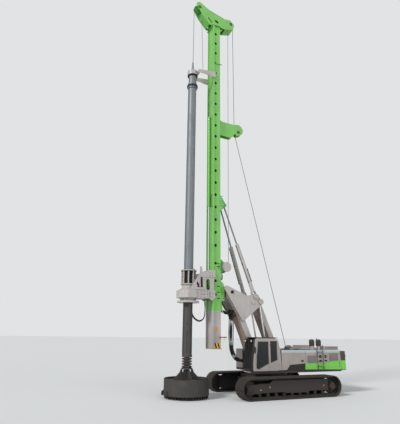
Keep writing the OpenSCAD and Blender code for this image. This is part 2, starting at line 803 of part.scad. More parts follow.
module mast_head() {
    color(green) for (s = side) {
        y = s * 300;
        xz(y - 15, y + 15) difference() {
            polygon([[4100, mast_z2 + 40], [2910, mast_z2 + 40], [2280, 23540], [2200, 23950], [2510, 24260],
                [3060, 24180], [4140, 24530], front_sheave + [-110, 360], front_sheave + [20, 410],
                front_sheave + [180, 340], front_sheave + [250, 180], front_sheave + [170, 40], [4670, 23990]]);
            strut([4180, 23850], 42, [3940, 23560], 42);
            polygon([[3690, 23860], [3560, 23860], [3420, 23770], [3410, 23660], [3530, 23625], [3700, 23740]]);
        }
        bar_y(front_sheave, 50, -300, 300);
        bar_y(rear_sheave, 50, -300, 300);
        bar_y([3300, 23950], 80, -300, 300);
    }
}

module head_sheaves() {
    color(steel) for (p = [front_sheave, rear_sheave]) difference() {
        union() {
            bar_y(p, sheave_r - 30, -60, 60);
            for (y = [-60, 30]) bar_y(p, sheave_r, y, y + 30);
        }
        bar_y(p, 50 + seat, -100, 100);
    }
}

crowd_z = 10400;
carriage_z1 = 6540;

module crowd_cylinder() {
    color(light) translate([crowd_x, 0, 0]) {
        difference() {
            translate([0, 0, crowd_z]) cylinder(r = 80, h = 6000);
            translate([0, 0, crowd_z + 100]) cylinder(r = 62, h = 5850);
            translate([0, 0, crowd_z - 1]) cylinder(r = 45.3, h = 200);
        }
        for (z = [crowd_z + 1500, crowd_z + 4500]) block([mast_x1 - crowd_x, -200, z], [-79, 200, z + 120]);
    }
}

module aux_drum() {
    color(steel) {
        bar_y(aux, 60 - seat, -290, 290);
        bar_y(aux, 150, -215, 215);
        for (y = [-215, 195]) bar_y(aux, 270, y, y + 20);
        for (y = [-290, 262]) bar_y(aux, 290, y, y + 28);
    }
}

module carriage() {
    color(light) {
        for (s = side) {
            y = s * (rail_w / 2 + 50);
            xz(y - 20, y + 20) difference() {
                polygon([[mast_x1 - 100, 5040], [3820, 5000], [3940, 4870], [4140, 4990], [4140, 5400],
                    [5240, 5400],
                    [5240, 5490], [4680, 6330], [4650, 6700], [4560, 6700], [4520, 6400], [4250, 6440],
                        [4050, carriage_z1],
                    [mast_x1 - 100, carriage_z1], [mast_x1 - 100, 6170], [mast_x1 - 20, 6150],
                        [mast_x1 - 20, 5430],
                    [mast_x1 - 100, 5410]]);
                strut([4175, 5545], 115, [4175, 5925], 115);
                strut([4575, 5775], 62, [4575, 6075], 62);
                strut([4810, 5710], 50, [4810, 5790], 50);
            }
            for (z = [5050, carriage_z1 - 350]) {
                block([mast_x1 - 101, min(s * 380, s * 470), z], [mast_x1 - 60 - seat, max(s * 380,
                    s * 470), z + 350]);
                block([rail_x1 + seat, min(s * 330, s * 470), z], [rail_x1 + 160, max(s * 330, s * 470),
                    z + 350]);
            }
        }
        block([4080, -471, 5000], [4140, 471, 5300]);
        block([mast_x1 + 35, -471, carriage_z1 - 140], [4140, 471, carriage_z1]);
    }
}

module crowd_rod() {
    color(chrome) translate([crowd_x, 0, 0]) {
        translate([0, 0, carriage_z1]) cylinder(r = 45, h = 12600 - carriage_z1);
        translate([0, 0, 12450]) cylinder(r = 61.7, h = 150);
    }
}

module rotary_drive() {
    color(light) {
        difference() {
            union() {
                block([4140, -560, drive_z], [kelly_x, 560, 5400]);
                translate([kelly_x, 0, drive_z]) rotate(22.5) cylinder(r = 650, h = 5380 - drive_z, $fn = 8);
            }
            translate([kelly_x, 0, drive_z - 1]) cylinder(r = 330, h = 500);
        }
        translate([kelly_x, 0, 0]) {
            // Neck over the sleeve, and the damper cage round the kelly
            difference() {
                union() {
                    translate([0, 0, 5370]) cylinder(r = 365, h = 340);
                    translate([0, 0, 5700]) cylinder(r = 440, h = 45);
                    translate([0, 0, 6455]) cylinder(r = 440, h = 45);
                }
                translate([0, 0, 5360]) cylinder(r = 335, h = 120);
                translate([0, 0, 5360]) cylinder(r = 290, h = 1240);
            }
            for (i = [0 : 7]) rotate(22.5 + i * 45) translate([365, 0, 5744]) cylinder(r = 24, h = 712);
        }
    }
    color(steel) {
        translate([kelly_x, 0, 5745 + seat]) for (i = [0 : 7]) rotate(22.5 + i * 45) translate([365, 0, 0])
            rotate_extrude() polygon(concat([for (k = [0 : 8], p = [[34, 8], [50, 22], [50, 44], [34, 58]])
                [p[0], p[1] + k * 79]], [[24 + seat, 709], [24 + seat, 0]]));
        for (s = side) translate([4480, s * 250, 5399]) {
            cylinder(r = 120, h = 400);
            cylinder(r = 90, h = 700);
        }
    }
}

module drive_sleeve() {
    color(steel) translate([kelly_x, 0, 0]) difference() {
        union() {
            translate([0, 0, 4740]) cylinder(r = 600, h = 90);
            translate([0, 0, 4829]) cylinder(r = 440, h = drive_z - 4829 - seat);
            translate([0, 0, 4970]) cylinder(r = 330 - seat, h = 500);
        }
        translate([0, 0, 4700]) cylinder(r = kelly_key_r + 8, h = 900);
        for (i = [0 : 11]) rotate(i * 30) translate([flange_pcd / 2, 0, 4730]) cylinder(r = 14, h = 110);
    }
}

module kelly_guide() {
    color(light) {
        translate([kelly_x, 0, kelly_ring_z]) difference() {
            cylinder(r = 330, h = 300);
            translate([0, 0, -1]) cylinder(r = 215, h = 302);
        }
        for (s = side) {
            y = s * (rail_w / 2 + 35);
            difference() {
                xz(y - 15, y + 15) polygon([[mast_x1 - 120, kelly_ring_z + 10], [mast_x1 - 120,
                    kelly_ring_z + 450],
                    [4300, kelly_ring_z + 380], [kelly_x - 200, kelly_ring_z + 290], [kelly_x - 200,
                        kelly_ring_z + 100],
                    [4390, kelly_ring_z + 70], [4050, kelly_ring_z + 10]]);
                translate([kelly_x, 0, 0]) cylinder(r = 216, h = 30000);
            }
            block([mast_x1 - 110, min(s * 380, s * 470), kelly_ring_z + 60], [mast_x1 - 60 - seat,
                max(s * 380, s * 470), kelly_ring_z + 280]);
            block([rail_x1 + seat, min(s * 380, s * 470), kelly_ring_z + 60], [rail_x1 + 60, max(s * 380,
                s * 470), kelly_ring_z + 280]);
        }
        block([kelly_x - 330, -490, kelly_ring_z + 80], [kelly_x - 240, 490, kelly_ring_z + 290]);
    }
}

module kelly_bar() {
    color([0.35, 0.38, 0.42]) translate([kelly_x, 0, 0]) {
        difference() {
            translate([0, 0, 2069]) cylinder(r = kelly_r, h = kelly_ring_z - 2069 - 60);
            translate([0, 0, 2120]) cylinder(r = 195, h = kelly_ring_z - 2120 - 120);
        }
        for (a = [0 : 120 : 240]) rotate(a) block([kelly_r - 10, -40, 2090], [kelly_key_r, 40, 18121]);
        translate([0, 0, 18120]) cylinder(r = 300, h = 340);
        translate([0, 0, kelly_ring_z - 61]) cylinder(r = 320, h = 61 - seat);
        translate([0, 0, kelly_ring_z - 10]) cylinder(r = 215 - seat, h = 360);
        translate([0, 0, kelly_ring_z + 349]) rotate_extrude() polygon([[0, 0], [150, 0], [150, 60], [85,
            150],
            [60, 400], [50, 620], [20, 770], [0, 770]]);
        // Spring between its seat and the collar, and the square stub
        rotate_extrude() polygon(concat([[0, 1380], [300, 1380], [300, 1440]],
            [for (i = [0 : 3], p = [[150, 10], [230, 10], [268, 40], [268, 70], [230, 100], [150, 100]])
                [p[0], 1445 + p[1] + i * 128]],
            [[150, 1970], [268, 1970], [268, 2070], [0, 2070]]));
        block([-100, -100, 900], [100, 100, 1381]);
    }
}

hinge = [bucket_r + 35, bucket_z0 + 20];

module bucket() {
    color(steel) translate([kelly_x, 0, 0]) {
        difference() {
            translate([0, 0, bucket_z0 + 40]) cylinder(r = bucket_r, h = bucket_z1 - bucket_z0 - 40,
                $fn = 96);
            translate([0, 0, bucket_z0]) cylinder(r = bucket_r - 30, h = 2000, $fn = 96);
        }
        for (y = [-300, 300]) difference() {
            xz(y - 30, y + 30) {
                polygon([[bucket_r - 20, bucket_z0 + 41], hinge + [-45, 0], hinge + [45, 0],
                    [bucket_r + 60, 340],
                    [bucket_r - 65, 420], [bucket_r - 65, bucket_z0 + 60]]);
                translate(hinge) circle(45);
            }
            translate([0, 0, bucket_z0 + 40]) cylinder(r = bucket_r - 10, h = 500, $fn = 96);
        }
        bar_y(hinge, 15, -330, 330);
        difference() {
            block([-bucket_r + 15, -160, bucket_z1 - 220], [bucket_r - 15, 160, bucket_z1 - 20]);
            block([-101, -101, 0], [101, 101, 2000]);
        }
        difference() {
            union() {
                block([-140, -140, bucket_z1 - 21], [140, 140, 1330]);
                // Gussets and pin ears of the kelly box
                for (a = [0, 90]) rotate(a) xz(-30, 30) polygon([[-700, bucket_z1 - 21], [700,
                    bucket_z1 - 21],
                    [380, 1240], [340, 1370], [250, 1370], [240, 1240], [-240, 1240], [-250, 1370],
                        [-340, 1370],
                    [-380, 1240]]);
                block([-160, -bucket_r + 15, bucket_z1 - 180], [160, bucket_r - 15, bucket_z1 - 20]);
            }
            block([-100 - seat, -100 - seat, 0], [100 + seat, 100 + seat, 2000]);
        }
    }
}

module bucket_door() {
    color(steel) translate([kelly_x, 0, 0]) {
        translate([0, 0, bucket_z0]) cylinder(r = bucket_r, h = 40 - seat, $fn = 96);
        difference() {
            union() {
                block([bucket_r - 40, -230, bucket_z0], [bucket_r + 30, 230, bucket_z0 + 39]);
                bar_y(hinge, 28, -230, 230);
            }
            bar_y(hinge, 15.3, -300, 300);
        }
        for (s = side, i = [0 : 5]) rotate(s * 90 + 90) translate([250 + i * 165, 20, 0]) rotate([20, 0, 0])
            block([-45, -30, bucket_z0 - 110], [45, 30, bucket_z0 + 5]);
        translate([0, 0, 30]) cylinder(r1 = 15, r2 = 90, h = bucket_z0 - 29);
    }
}

car_body();
track_frames();
left_track();
right_track();
track_wheels();
slew_ring();
platform();
counterweight();
engine_block();
engine_hood();
left_housing();
right_housing();
left_door();
right_door();
cab_shell();
cab_door();
cab_glass();
cab_seat();
guard_rails();
winch_drum();
boom();
rear_link();
luff_barrels();
luff_rods();
triangle_frame();
mast_cross();
mast_yokes();
left_mast_barrel();
right_mast_barrel();
left_mast_rod();
right_mast_rod();
lower_mast();
main_mast();
mast_head();
head_sheaves();
crowd_cylinder();
aux_drum();
carriage();
crowd_rod();
rotary_drive();
drive_sleeve();
kelly_guide();
kelly_bar();
bucket();
bucket_door();
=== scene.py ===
"""Rotary piling rig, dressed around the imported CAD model.

Metres, in the model's frame: +X forward, +Y left, +Z up, origin on the ground under the slewing axis.
"""
import json
import math

import bmesh
import bpy
from mathutils import Matrix, Vector


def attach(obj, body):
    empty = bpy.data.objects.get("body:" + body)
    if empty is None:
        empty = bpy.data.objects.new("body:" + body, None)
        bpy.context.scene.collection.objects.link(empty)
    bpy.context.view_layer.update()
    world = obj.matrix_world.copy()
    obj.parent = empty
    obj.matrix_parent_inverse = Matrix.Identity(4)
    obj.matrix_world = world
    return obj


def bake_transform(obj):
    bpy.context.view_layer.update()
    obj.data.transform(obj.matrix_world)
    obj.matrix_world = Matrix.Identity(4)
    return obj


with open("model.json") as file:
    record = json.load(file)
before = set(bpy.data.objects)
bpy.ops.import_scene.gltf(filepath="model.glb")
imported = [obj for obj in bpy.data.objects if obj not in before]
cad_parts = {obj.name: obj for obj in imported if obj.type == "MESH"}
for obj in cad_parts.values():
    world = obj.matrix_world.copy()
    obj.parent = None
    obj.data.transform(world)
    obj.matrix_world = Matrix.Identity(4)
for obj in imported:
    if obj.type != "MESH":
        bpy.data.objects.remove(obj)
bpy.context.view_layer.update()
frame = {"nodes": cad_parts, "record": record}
nodes = frame["nodes"]

# Camera, found from the photograph's perspective; angles in degrees
IMAGE_SIZE = (400, 424)
CAMERA_PLACE = (13.53, 20.70, 3.09)
CAMERA_YAW = 23.57
CAMERA_PITCH = 16.98
CAMERA_ROLL = 0.72
FOCAL_PIXELS = 401.8
SENSOR_WIDTH = 36

# Sign of y on each side, and what nodes and pieces on that side are called
SIDES = {1: "left", -1: "right"}
FORWARD = (1, 0, 0)
LEFT = (0, 1, 0)
UP = (0, 0, 1)

# Axes that lie across the machine, as (forward, up), and the radii at which the main rope runs there
FRONT_SHEAVE = (4.83, 24.52)
REAR_SHEAVE = (2.45, 23.95)
BRACKET_ROLLER = (1.93, 15.70)
WINCH = (-1.53, 2.13)
AUX_WINCH = (2.90, 6.83)
SHEAVE_GROOVE = 0.288
ROLLER_GROOVE = 0.216
WINCH_LEAD = 0.352

# Upright axis of the drilling tools, and the kelly's lowest tube
KELLY_X = 5.14
KELLY_RADIUS = 0.25

# Outer faces of CAD solids, as distances from the middle plane
FRAME_FACE = 2.015
HOUSING_FACE = 1.5
TRIANGLE_FACE = 0.71
CARRIAGE_FACE = 0.51
DRIVE_FACE = 0.56
MAST_FACE = 0.37
HEAD_FACE = 0.315
BRACKET_FACE = 0.165
# Gap that keeps a flat layer clear of the face under it
LIFT = 0.0002

ROPE_RADIUS = 0.016
BOOM_HOSE_RADIUS = 0.021
DRIVE_HOSE_RADIUS = 0.024
AUX_HOSE_RADIUS = 0.018
LINE_RADIUS = 0.016

# Angle from which an edge is sharp and takes a bevel
CREASE = math.radians(35)


def srgb(r, g, b):
    """Linear colour of an 8-bit display colour."""
    def linear(c):
        c /= 255
        return c / 12.92 if c <= 0.04045 else ((c + 0.055) / 1.055) ** 2.4
    return (linear(r), linear(g), linear(b), 1.0)


def place_object(name, data):
    """Object made of the data, linked into the scene."""
    thing = bpy.data.objects.new(name, data)
    bpy.context.scene.collection.objects.link(thing)
    return thing


# Shader nodes


def feed(tree, node, **inputs):
    """Sets inputs, named with _ for a space, to values or links them to other nodes' outputs."""
    for name, source in inputs.items():
        socket = node.inputs[name.replace("_", " ")]
        if isinstance(source, bpy.types.NodeSocket):
            tree.links.new(source, socket)
        else:
            socket.default_value = source


def add_node(tree, kind, **inputs):
    node = tree.nodes.new(f"ShaderNode{kind}")
    feed(tree, node, **inputs)
    return node


def map_range(tree, value, **limits):
    """The value, brought from one range to another and kept inside it."""
    return add_node(tree, "MapRange", Value=value, **limits).outputs[0]


def combine(tree, operation, first, second, clamp=False):
    """Two values added, compared and so on."""
    node = tree.nodes.new("ShaderNodeMath")
    node.operation = operation
    node.use_clamp = clamp
    for source, socket in zip((first, second), node.inputs):
        tree.links.new(source, socket)
    return node.outputs[0]


def mix_colours(tree, factor, first, second, blend="MIX"):
    node = tree.nodes.new("ShaderNodeMix")
    node.data_type = "RGBA"
    node.blend_type = blend
    feed(tree, node, Factor=factor, A=first, B=second)
    return node.outputs["Result"]


def new_material(name):
    """Material, its node tree and its shader."""
    material = bpy.data.materials.new(name)
    material.use_nodes = True
    tree = material.node_tree
    return material, tree, tree.nodes["Principled BSDF"]


# Camera, light and floor


def add_camera():
    """The photograph's camera."""
    yaw = math.radians(CAMERA_YAW)
    pitch = math.radians(CAMERA_PITCH)
    roll = math.radians(CAMERA_ROLL)
    ahead = Vector((-math.sin(yaw) * math.cos(pitch), -math.cos(yaw) * math.cos(pitch), math.sin(pitch)))
    right = ahead.cross(Vector(UP)).normalized()
    up = right.cross(ahead)
    right_rolled = right * math.cos(roll) + up * math.sin(roll)
    up_rolled = up * math.cos(roll) - right * math.sin(roll)
    data = bpy.data.cameras.new("camera")
    data.sensor_width = SENSOR_WIDTH
    data.lens = SENSOR_WIDTH * FOCAL_PIXELS / max(IMAGE_SIZE)
    data.clip_end = 1000
    camera = place_object("camera", data)
    turn = Matrix((right_rolled, up_rolled, -ahead)).transposed()
    camera.matrix_world = Matrix.Translation(CAMERA_PLACE) @ turn.to_4x4()
    bpy.context.scene.camera = camera


def add_light():
    """A soft key from the machine's front left, a weak fill, and an even pale surround."""
    for name, toward, strength, angle in (("key", (-0.86, -0.30, -0.62), 2.6, 14),
                                          ("fill", (0.30, -0.90, -0.35), 0.9, 60)):
        data = bpy.data.lights.new(name, "SUN")
        data.energy = strength
        data.angle = math.radians(angle)
        lamp = place_object(name, data)
        lamp.rotation_mode = "QUATERNION"
        lamp.rotation_quaternion = Vector(toward).to_track_quat("-Z", "Y")
    world = bpy.data.worlds.new("world")
    bpy.context.scene.world = world
    world.use_nodes = True
    tree = world.node_tree
    # The surround lights the machine; the camera sees the photograph's sky instead, also through glass
    surround = tree.nodes["Background"]
    feed(tree, surround, Color=(0.95, 0.98, 1.0, 1), Strength=0.55)
    sky = add_node(tree, "Background", Color=srgb(226, 227, 228))
    ray = add_node(tree, "LightPath")
    seen = combine(tree, "MAXIMUM", ray.outputs["Is Camera Ray"], ray.outputs["Is Transmission Ray"])
    mix = tree.nodes.new("ShaderNodeMixShader")
    for source, socket in zip((seen, surround.outputs[0], sky.outputs[0]), mix.inputs):
        tree.links.new(source, socket)
    tree.links.new(mix.outputs[0], tree.nodes["World Output"].inputs["Surface"])


def add_floor():
    """Wide pale floor, left out of the model."""
    size = 400
    mesh = bpy.data.meshes.new("floor")
    mesh.from_pydata([(-size, -size, 0), (size, -size, 0), (size, size, 0), (-size, size, 0)], [], [(0, 1, 2, 3)])
    floor = place_object("floor", mesh)
    material, tree, shader = new_material("floor")
    feed(tree, shader, Base_Color=srgb(205, 206, 206), Roughness=0.9)
    mesh.materials.append(material)


# Materials


def finish_material(name, colour, roughness, metallic=0.0, grime=0.35, grime_colour=(96, 88, 80),
                    cloud=0.9, streak=0.0, bump=0.02, coat=0.0):
    """Painted or bare metal: broad clouds of dust, fine speckle, vertical run marks and a fine bump."""
    material, tree, shader = new_material(name)
    place = add_node(tree, "TexCoord").outputs["Object"]
    stretched = add_node(tree, "Mapping", Vector=place, Scale=(6, 6, 0.5)).outputs["Vector"]
    clouds = add_node(tree, "TexNoise", Vector=place, Scale=cloud, Detail=8, Roughness=0.62).outputs["Fac"]
    runs = add_node(tree, "TexNoise", Vector=stretched, Scale=2.2, Detail=6).outputs["Fac"]
    specks = add_node(tree, "TexNoise", Vector=place, Scale=38, Detail=4).outputs["Fac"]
    dust = map_range(tree, clouds, From_Min=0.46, From_Max=0.78, To_Max=grime)
    run_marks = map_range(tree, runs, From_Min=0.52, From_Max=0.8, To_Max=streak)
    dirt = combine(tree, "ADD", dust, run_marks, clamp=True)
    tinted = mix_colours(tree, dirt, srgb(*colour), srgb(*grime_colour))
    speckled = mix_colours(tree, 0.22, tinted, specks, "MULTIPLY")
    rough = map_range(tree, dirt, To_Min=roughness, To_Max=min(roughness + 0.3, 1))
    relief = add_node(tree, "Bump", Strength=bump * 10, Distance=0.004, Height=specks).outputs["Normal"]
    feed(tree, shader, Base_Color=speckled, Roughness=rough, Metallic=metallic, Coat_Weight=coat, Normal=relief)
    return material


def glass_material():
    """Dark tinted glass under thin dust."""
    material, tree, shader = new_material("glass")
    dust = add_node(tree, "TexNoise", Scale=5).outputs["Fac"]
    haze = map_range(tree, dust, To_Min=0.02, To_Max=0.22)
    feed(tree, shader, Base_Color=srgb(40, 46, 49), Roughness=haze, Transmission_Weight=0.75, IOR=1.45)
    return material


def darken_below(material, height, tint, reach=0.1):
    """Multiplies the base colour by tint under a height of the piece's own frame, over reach up and down."""
    tree = material.node_tree
    shader = tree.nodes["Principled BSDF"]
    colour = shader.inputs["Base Color"].links[0].from_socket
    place = add_node(tree, "TexCoord").outputs["Object"]
    z = add_node(tree, "SeparateXYZ", Vector=place).outputs["Z"]
    above = map_range(tree, z, From_Min=height - reach, From_Max=height + reach)
    shade = mix_colours(tree, above, (*tint, 1), (1, 1, 1, 1))
    feed(tree, shader, Base_Color=mix_colours(tree, 1, colour, shade, "MULTIPLY"))


# Display colour, roughness, and what else differs from the usual finish
FINISHES = {
    "green_paint": ((112, 190, 78), 0.36, dict(grime=0.25, streak=0.2, coat=0.15)),
    "light_paint": ((178, 172, 168), 0.42, dict(grime=0.3, streak=0.25, coat=0.1)),
    "dark_paint": ((58, 52, 50), 0.5, dict(grime_colour=(90, 82, 76), streak=0.1)),
    "track_steel": ((56, 50, 46), 0.7,
                    dict(metallic=0.3, grime=0.5, grime_colour=(92, 82, 74), cloud=2.5, bump=0.05)),
    "bare_steel": ((92, 86, 82), 0.5, dict(metallic=0.45, grime=0.5, cloud=2.0)),
    "chrome_rod": ((222, 225, 228), 0.12, dict(metallic=1.0, grime=0.05, bump=0.002)),
    "kelly_steel": ((120, 125, 129), 0.5, dict(metallic=0.3, grime_colour=(88, 86, 84), streak=0.4)),
    "bucket_steel": ((62, 59, 58), 0.65,
                     dict(metallic=0.3, grime=0.5, grime_colour=(92, 84, 77), cloud=2.2, bump=0.05)),
    "black_paint": ((34, 33, 34), 0.45, dict(grime=0.3, grime_colour=(70, 66, 62))),
    "rubber": ((20, 20, 21), 0.65, dict(grime=0.25, grime_colour=(60, 56, 52), cloud=3.0)),
    "deep_green": ((64, 150, 66), 0.42, dict(grime=0.3, grime_colour=(60, 90, 56))),
    "band_green": ((114, 200, 74), 0.4, dict(grime=0.06)),
    "dull_rod": ((132, 142, 138), 0.35, dict(metallic=0.5, grime=0.15)),
    # Painted reflection: a bluish pale tone of the sky on the housings' rounded top edges
    "sky_sheen_paint": ((180, 188, 192), 0.4, dict(grime=0.15)),
    "brown_frame": ((44, 37, 34), 0.65, dict(grime_colour=(66, 57, 51), cloud=2.0)),
    "sill_dark": ((26, 18, 18), 0.6, dict(grime=0.12, grime_colour=(60, 50, 48))),
    "void": ((7, 7, 8), 0.9, dict(grime=0.0)),
    "pale_rod": ((206, 214, 208), 0.3, dict(metallic=0.25, grime=0.1)),
    # Painted shade: a brown tone for front faces that stands in for shade and warm bounce light
    "front_shade_paint": ((146, 122, 106), 0.55, dict(streak=0.2)),
    "yellow_paint": ((222, 182, 44), 0.45, dict(grime=0.3)),
    "orange_paint": ((216, 150, 52), 0.5, dict(grime=0.3)),
    "rust_steel": ((158, 116, 66), 0.8, dict(grime=0.3, grime_colour=(96, 70, 50), cloud=4)),
    "lamp_red": ((150, 26, 22), 0.2, dict(grime=0.15, coat=0.4)),
    "lens": ((214, 220, 222), 0.1, dict(grime=0.15, coat=0.6)),
    "light_rope": ((238, 232, 220), 0.8, dict(grime=0.1)),
    "hose_sleeve": ((150, 140, 134), 0.6, dict(grime=0.4)),
    "rope": ((92, 92, 94), 0.5, dict(metallic=0.5, grime=0.3)),
    "seat_fabric": ((44, 44, 48), 0.9, dict(grime=0.2, bump=0.06)),
}
MATERIALS = {name: finish_material(name, colour, roughness, **others)
             for name, (colour, roughness, others) in FINISHES.items()}
MATERIALS["glass"] = glass_material()
# The kelly is darker where it meets the soil, and the light paint low on the machine is darkened as painted shade
darken_below(MATERIALS["kelly_steel"], 5.0, (0.36, 0.31, 0.28))
darken_below(MATERIALS["light_paint"], 3.1, (0.82, 0.79, 0.78), 0.5)


def paint_nodes():
    """Gives each CAD node its slot's finish."""
    slots = {part["node"]: part["material_slot"] for part in frame["record"]["subparts"]}
    for name, piece in nodes.items():
        piece.data.materials.clear()
        piece.data.materials.append(MATERIALS[slots[name]])
        for face in piece.data.polygons:
            face.material_index = 0


def repaint(node, finish, chosen=lambda p: True, facing=None):
    """Another finish on the node's faces whose middle passes chosen and that look along facing, if given."""
    mesh = nodes[node].data
    mesh.materials.append(MATERIALS[finish])
    place = nodes[node].matrix_world
    turn = place.to_3x3()
    for face in mesh.polygons:
        if chosen(place @ face.center) and (not facing or (turn @ face.normal).dot(Vector(facing)) > 0.5):
            face.material_index = len(mesh.materials) - 1


def repaint_nodes():
    """Parts of nodes that have another colour than the rest of their slot."""
    repaint("aux_drum", "light_paint", lambda p: abs(p.y) > 0.26)
    for low, high in ((10.3, 11.3), (6.5, 7.3)):
        repaint("main_mast", "deep_green", lambda p: p.x < 3.335 and low < p.z < high)
    repaint("crowd_cylinder", "green_paint")
    repaint("head_sheaves", "deep_green")
    repaint("left_mast_rod", "dull_rod")
    repaint("right_mast_rod", "dull_rod")
    repaint("winch_drum", "light_paint", lambda p: abs(p.y) > 0.32)
    repaint("crowd_rod", "pale_rod")
    repaint("drive_sleeve", "light_paint")
    # Painted shade: the front faces of the boom, the rear link and the tilting frame in a shaded brown
    for node in ("boom", "rear_link", "triangle_frame"):
        repaint(node, "front_shade_paint", facing=FORWARD)
    repaint("track_frames", "brown_frame")
    # The cab's lining, then its front behind the guard
    repaint("cab_shell", "black_paint",
            lambda p: 0.50 < p.x < 1.995 and 0.62 < p.y < 1.475 and 1.34 < p.z < 2.90)
    repaint("cab_shell", "black_paint", lambda p: p.x > 1.84 and p.y < 1.49 and p.z > 1.40)
    for tag in SIDES.values():
        repaint(f"{tag}_door", "black_paint", lambda p: abs(p.y) < 1.498)
    repaint("rotary_drive", "dark_paint", lambda p: p.z > 5.405 and p.x < 4.65 and abs(p.y) > 0.1)


# Mesh code


def circle(middle, across, third, radius, count, start=0.0):
    """Places on a circle in the plane of two unit vectors."""
    return [middle + (across * math.cos(a) + third * math.sin(a)) * radius
            for a in (start + 2 * math.pi * k / count for k in range(count))]


def smooth_path(points, steps=6):
    """Catmull-Rom line through the points."""
    points = [Vector(p) for p in points]
    ends = [2 * points[0] - points[1]] + points + [2 * points[-1] - points[-2]]
    path = []
    for a, b, c, d in zip(ends, ends[1:], ends[2:], ends[3:]):
        for k in range(steps):
            t = k / steps
            path.append(0.5 * (2 * b + (c - a) * t + (2 * a - 5 * b + 4 * c - d) * t * t
                               + (3 * b - a - 3 * c + d) * t ** 3))
    path.append(points[-1])
    return path


class Form:
    """Collects boxes, prisms, rods and turned shapes in one mesh."""

    def __init__(self):
        self.mesh = bmesh.new()

    def _close(self, rings, capped=True):
        """Skin over rings of as many points each, with a face on both ends if capped."""
        rings = [[self.mesh.verts.new(p) for p in ring] for ring in rings]
        if not capped:
            rings.append(rings[0])
        for a, b in zip(rings, rings[1:]):
            for i in range(len(a)):
                j = (i + 1) % len(a)
                self.mesh.faces.new((a[i], a[j], b[j], b[i]))
        if capped:
            self.mesh.faces.new(rings[0][::-1])
            self.mesh.faces.new(rings[-1])
        return self

    def box(self, low, high):
        corners = [(x, y, z) for x in (low[0], high[0]) for y in (low[1], high[1]) for z in (low[2], high[2])]
        points = [self.mesh.verts.new(c) for c in corners]
        for face in ((0, 1, 3, 2), (4, 6, 7, 5), (0, 4, 5, 1), (2, 3, 7, 6), (0, 2, 6, 4), (1, 5, 7, 3)):
            self.mesh.faces.new([points[i] for i in face])
        return self

    def side_box(self, side, x, distance, z):
        """Box on one side; x, distance from the middle plane and z are (low, high) pairs."""
        y = sorted(side * d for d in distance)
        return self.box((x[0], y[0], z[0]), (x[1], y[1], z[1]))

    def prism(self, outline, low, high):
        """Prism across the machine between two values of y; outline is (forward, up) pairs."""
        return self._close([[(x, y, z) for x, z in outline] for y in (low, high)])

    def side_prism(self, side, outline, near, far):
        """Prism on one side, between two distances from the middle plane."""
        return self.prism(outline, *sorted((side * near, side * far)))

    def loft(self, *rings):
        """Closed solid through rings of as many points each."""
        return self._close(rings)

    def turned(self, foot, axis, profile, sides=24):
        """profile: (distance along axis, radius) pairs, turned round the line from foot along axis."""
        axis = Vector(axis).normalized()
        across = axis.orthogonal().normalized()
        third = axis.cross(across)
        return self._close([circle(Vector(foot) + axis * along, across, third, radius, sides)
                            for along, radius in profile])

    def tube(self, foot, length, outer, inner, sides=32):
        """Upright hollow ring from foot."""
        foot, up, across, third = (Vector(v) for v in (foot, UP, FORWARD, LEFT))
        return self._close([circle(foot + up * height, across, third, radius, sides)
                            for height, radius in ((0, outer), (length, outer), (length, inner), (0, inner))],
                           capped=False)

    def rod(self, start, end, radius, sides=16):
        span = Vector(end) - Vector(start)
        return self.turned(start, span, [(0, radius), (span.length, radius)], sides)

    def sweep(self, path, radius, sides=10):
        """Round tube along the path."""
        path = [Vector(p) for p in path]
        across = None
        rings = []
        for k, place in enumerate(path):
            ahead = (path[min(k + 1, len(path) - 1)] - path[max(k - 1, 0)]).normalized()
            if across is None:
                across = ahead.orthogonal().normalized()
            across = (across - ahead * across.dot(ahead)).normalized()
            rings.append(circle(place, across, ahead.cross(across), radius, sides))
        return self._close(rings)

    def mesh_only(self, name, material):
        """The collected mesh as an object that rides on nothing yet."""
        bmesh.ops.recalc_face_normals(self.mesh, faces=self.mesh.faces)
        mesh = bpy.data.meshes.new(name)
        self.mesh.to_mesh(mesh)
        self.mesh.free()
        thing = place_object(name, mesh)
        mesh.materials.append(MATERIALS[material])
        mesh.shade_smooth()
        mesh.set_sharp_from_angle(angle=CREASE)
        return thing

    def piece(self, name, material, body, bevel=0.0):
        """The collected mesh as a piece that rides on a body."""
        thing = self.mesh_only(name, material)
        if bevel:
            edge = thing.modifiers.new("edge", "BEVEL")
            edge.width = bevel
            edge.segments = 2
            edge.limit_method = "ANGLE"
            edge.angle_limit = CREASE
            edge.use_clamp_overlap = True
            edge.harden_normals = True
        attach(thing, body)
        return thing


def node_box(name):
    """Lowest and highest corner of a CAD node."""
    place = nodes[name].matrix_world
    corners = [place @ vertex.co for vertex in nodes[name].data.vertices]
    return [[pick(c[axis] for c in corners) for axis in range(3)] for pick in (min, max)]


# Ropes and hoses


def polar(middle, radius, degrees):
    """Place in the middle plane, from a (forward, up) middle."""
    angle = math.radians(degrees)
    return Vector((middle[0] + radius * math.cos(angle), 0, middle[1] + radius * math.sin(angle)))


def straight_rope(name, start, end, steps=12):
    """Stretch of the main rope, made in steps."""
    path = [start.lerp(end, k / steps) for k in range(steps + 1)]
    return Form().sweep(path, ROPE_RADIUS, 8).mesh_only(name, "rope")


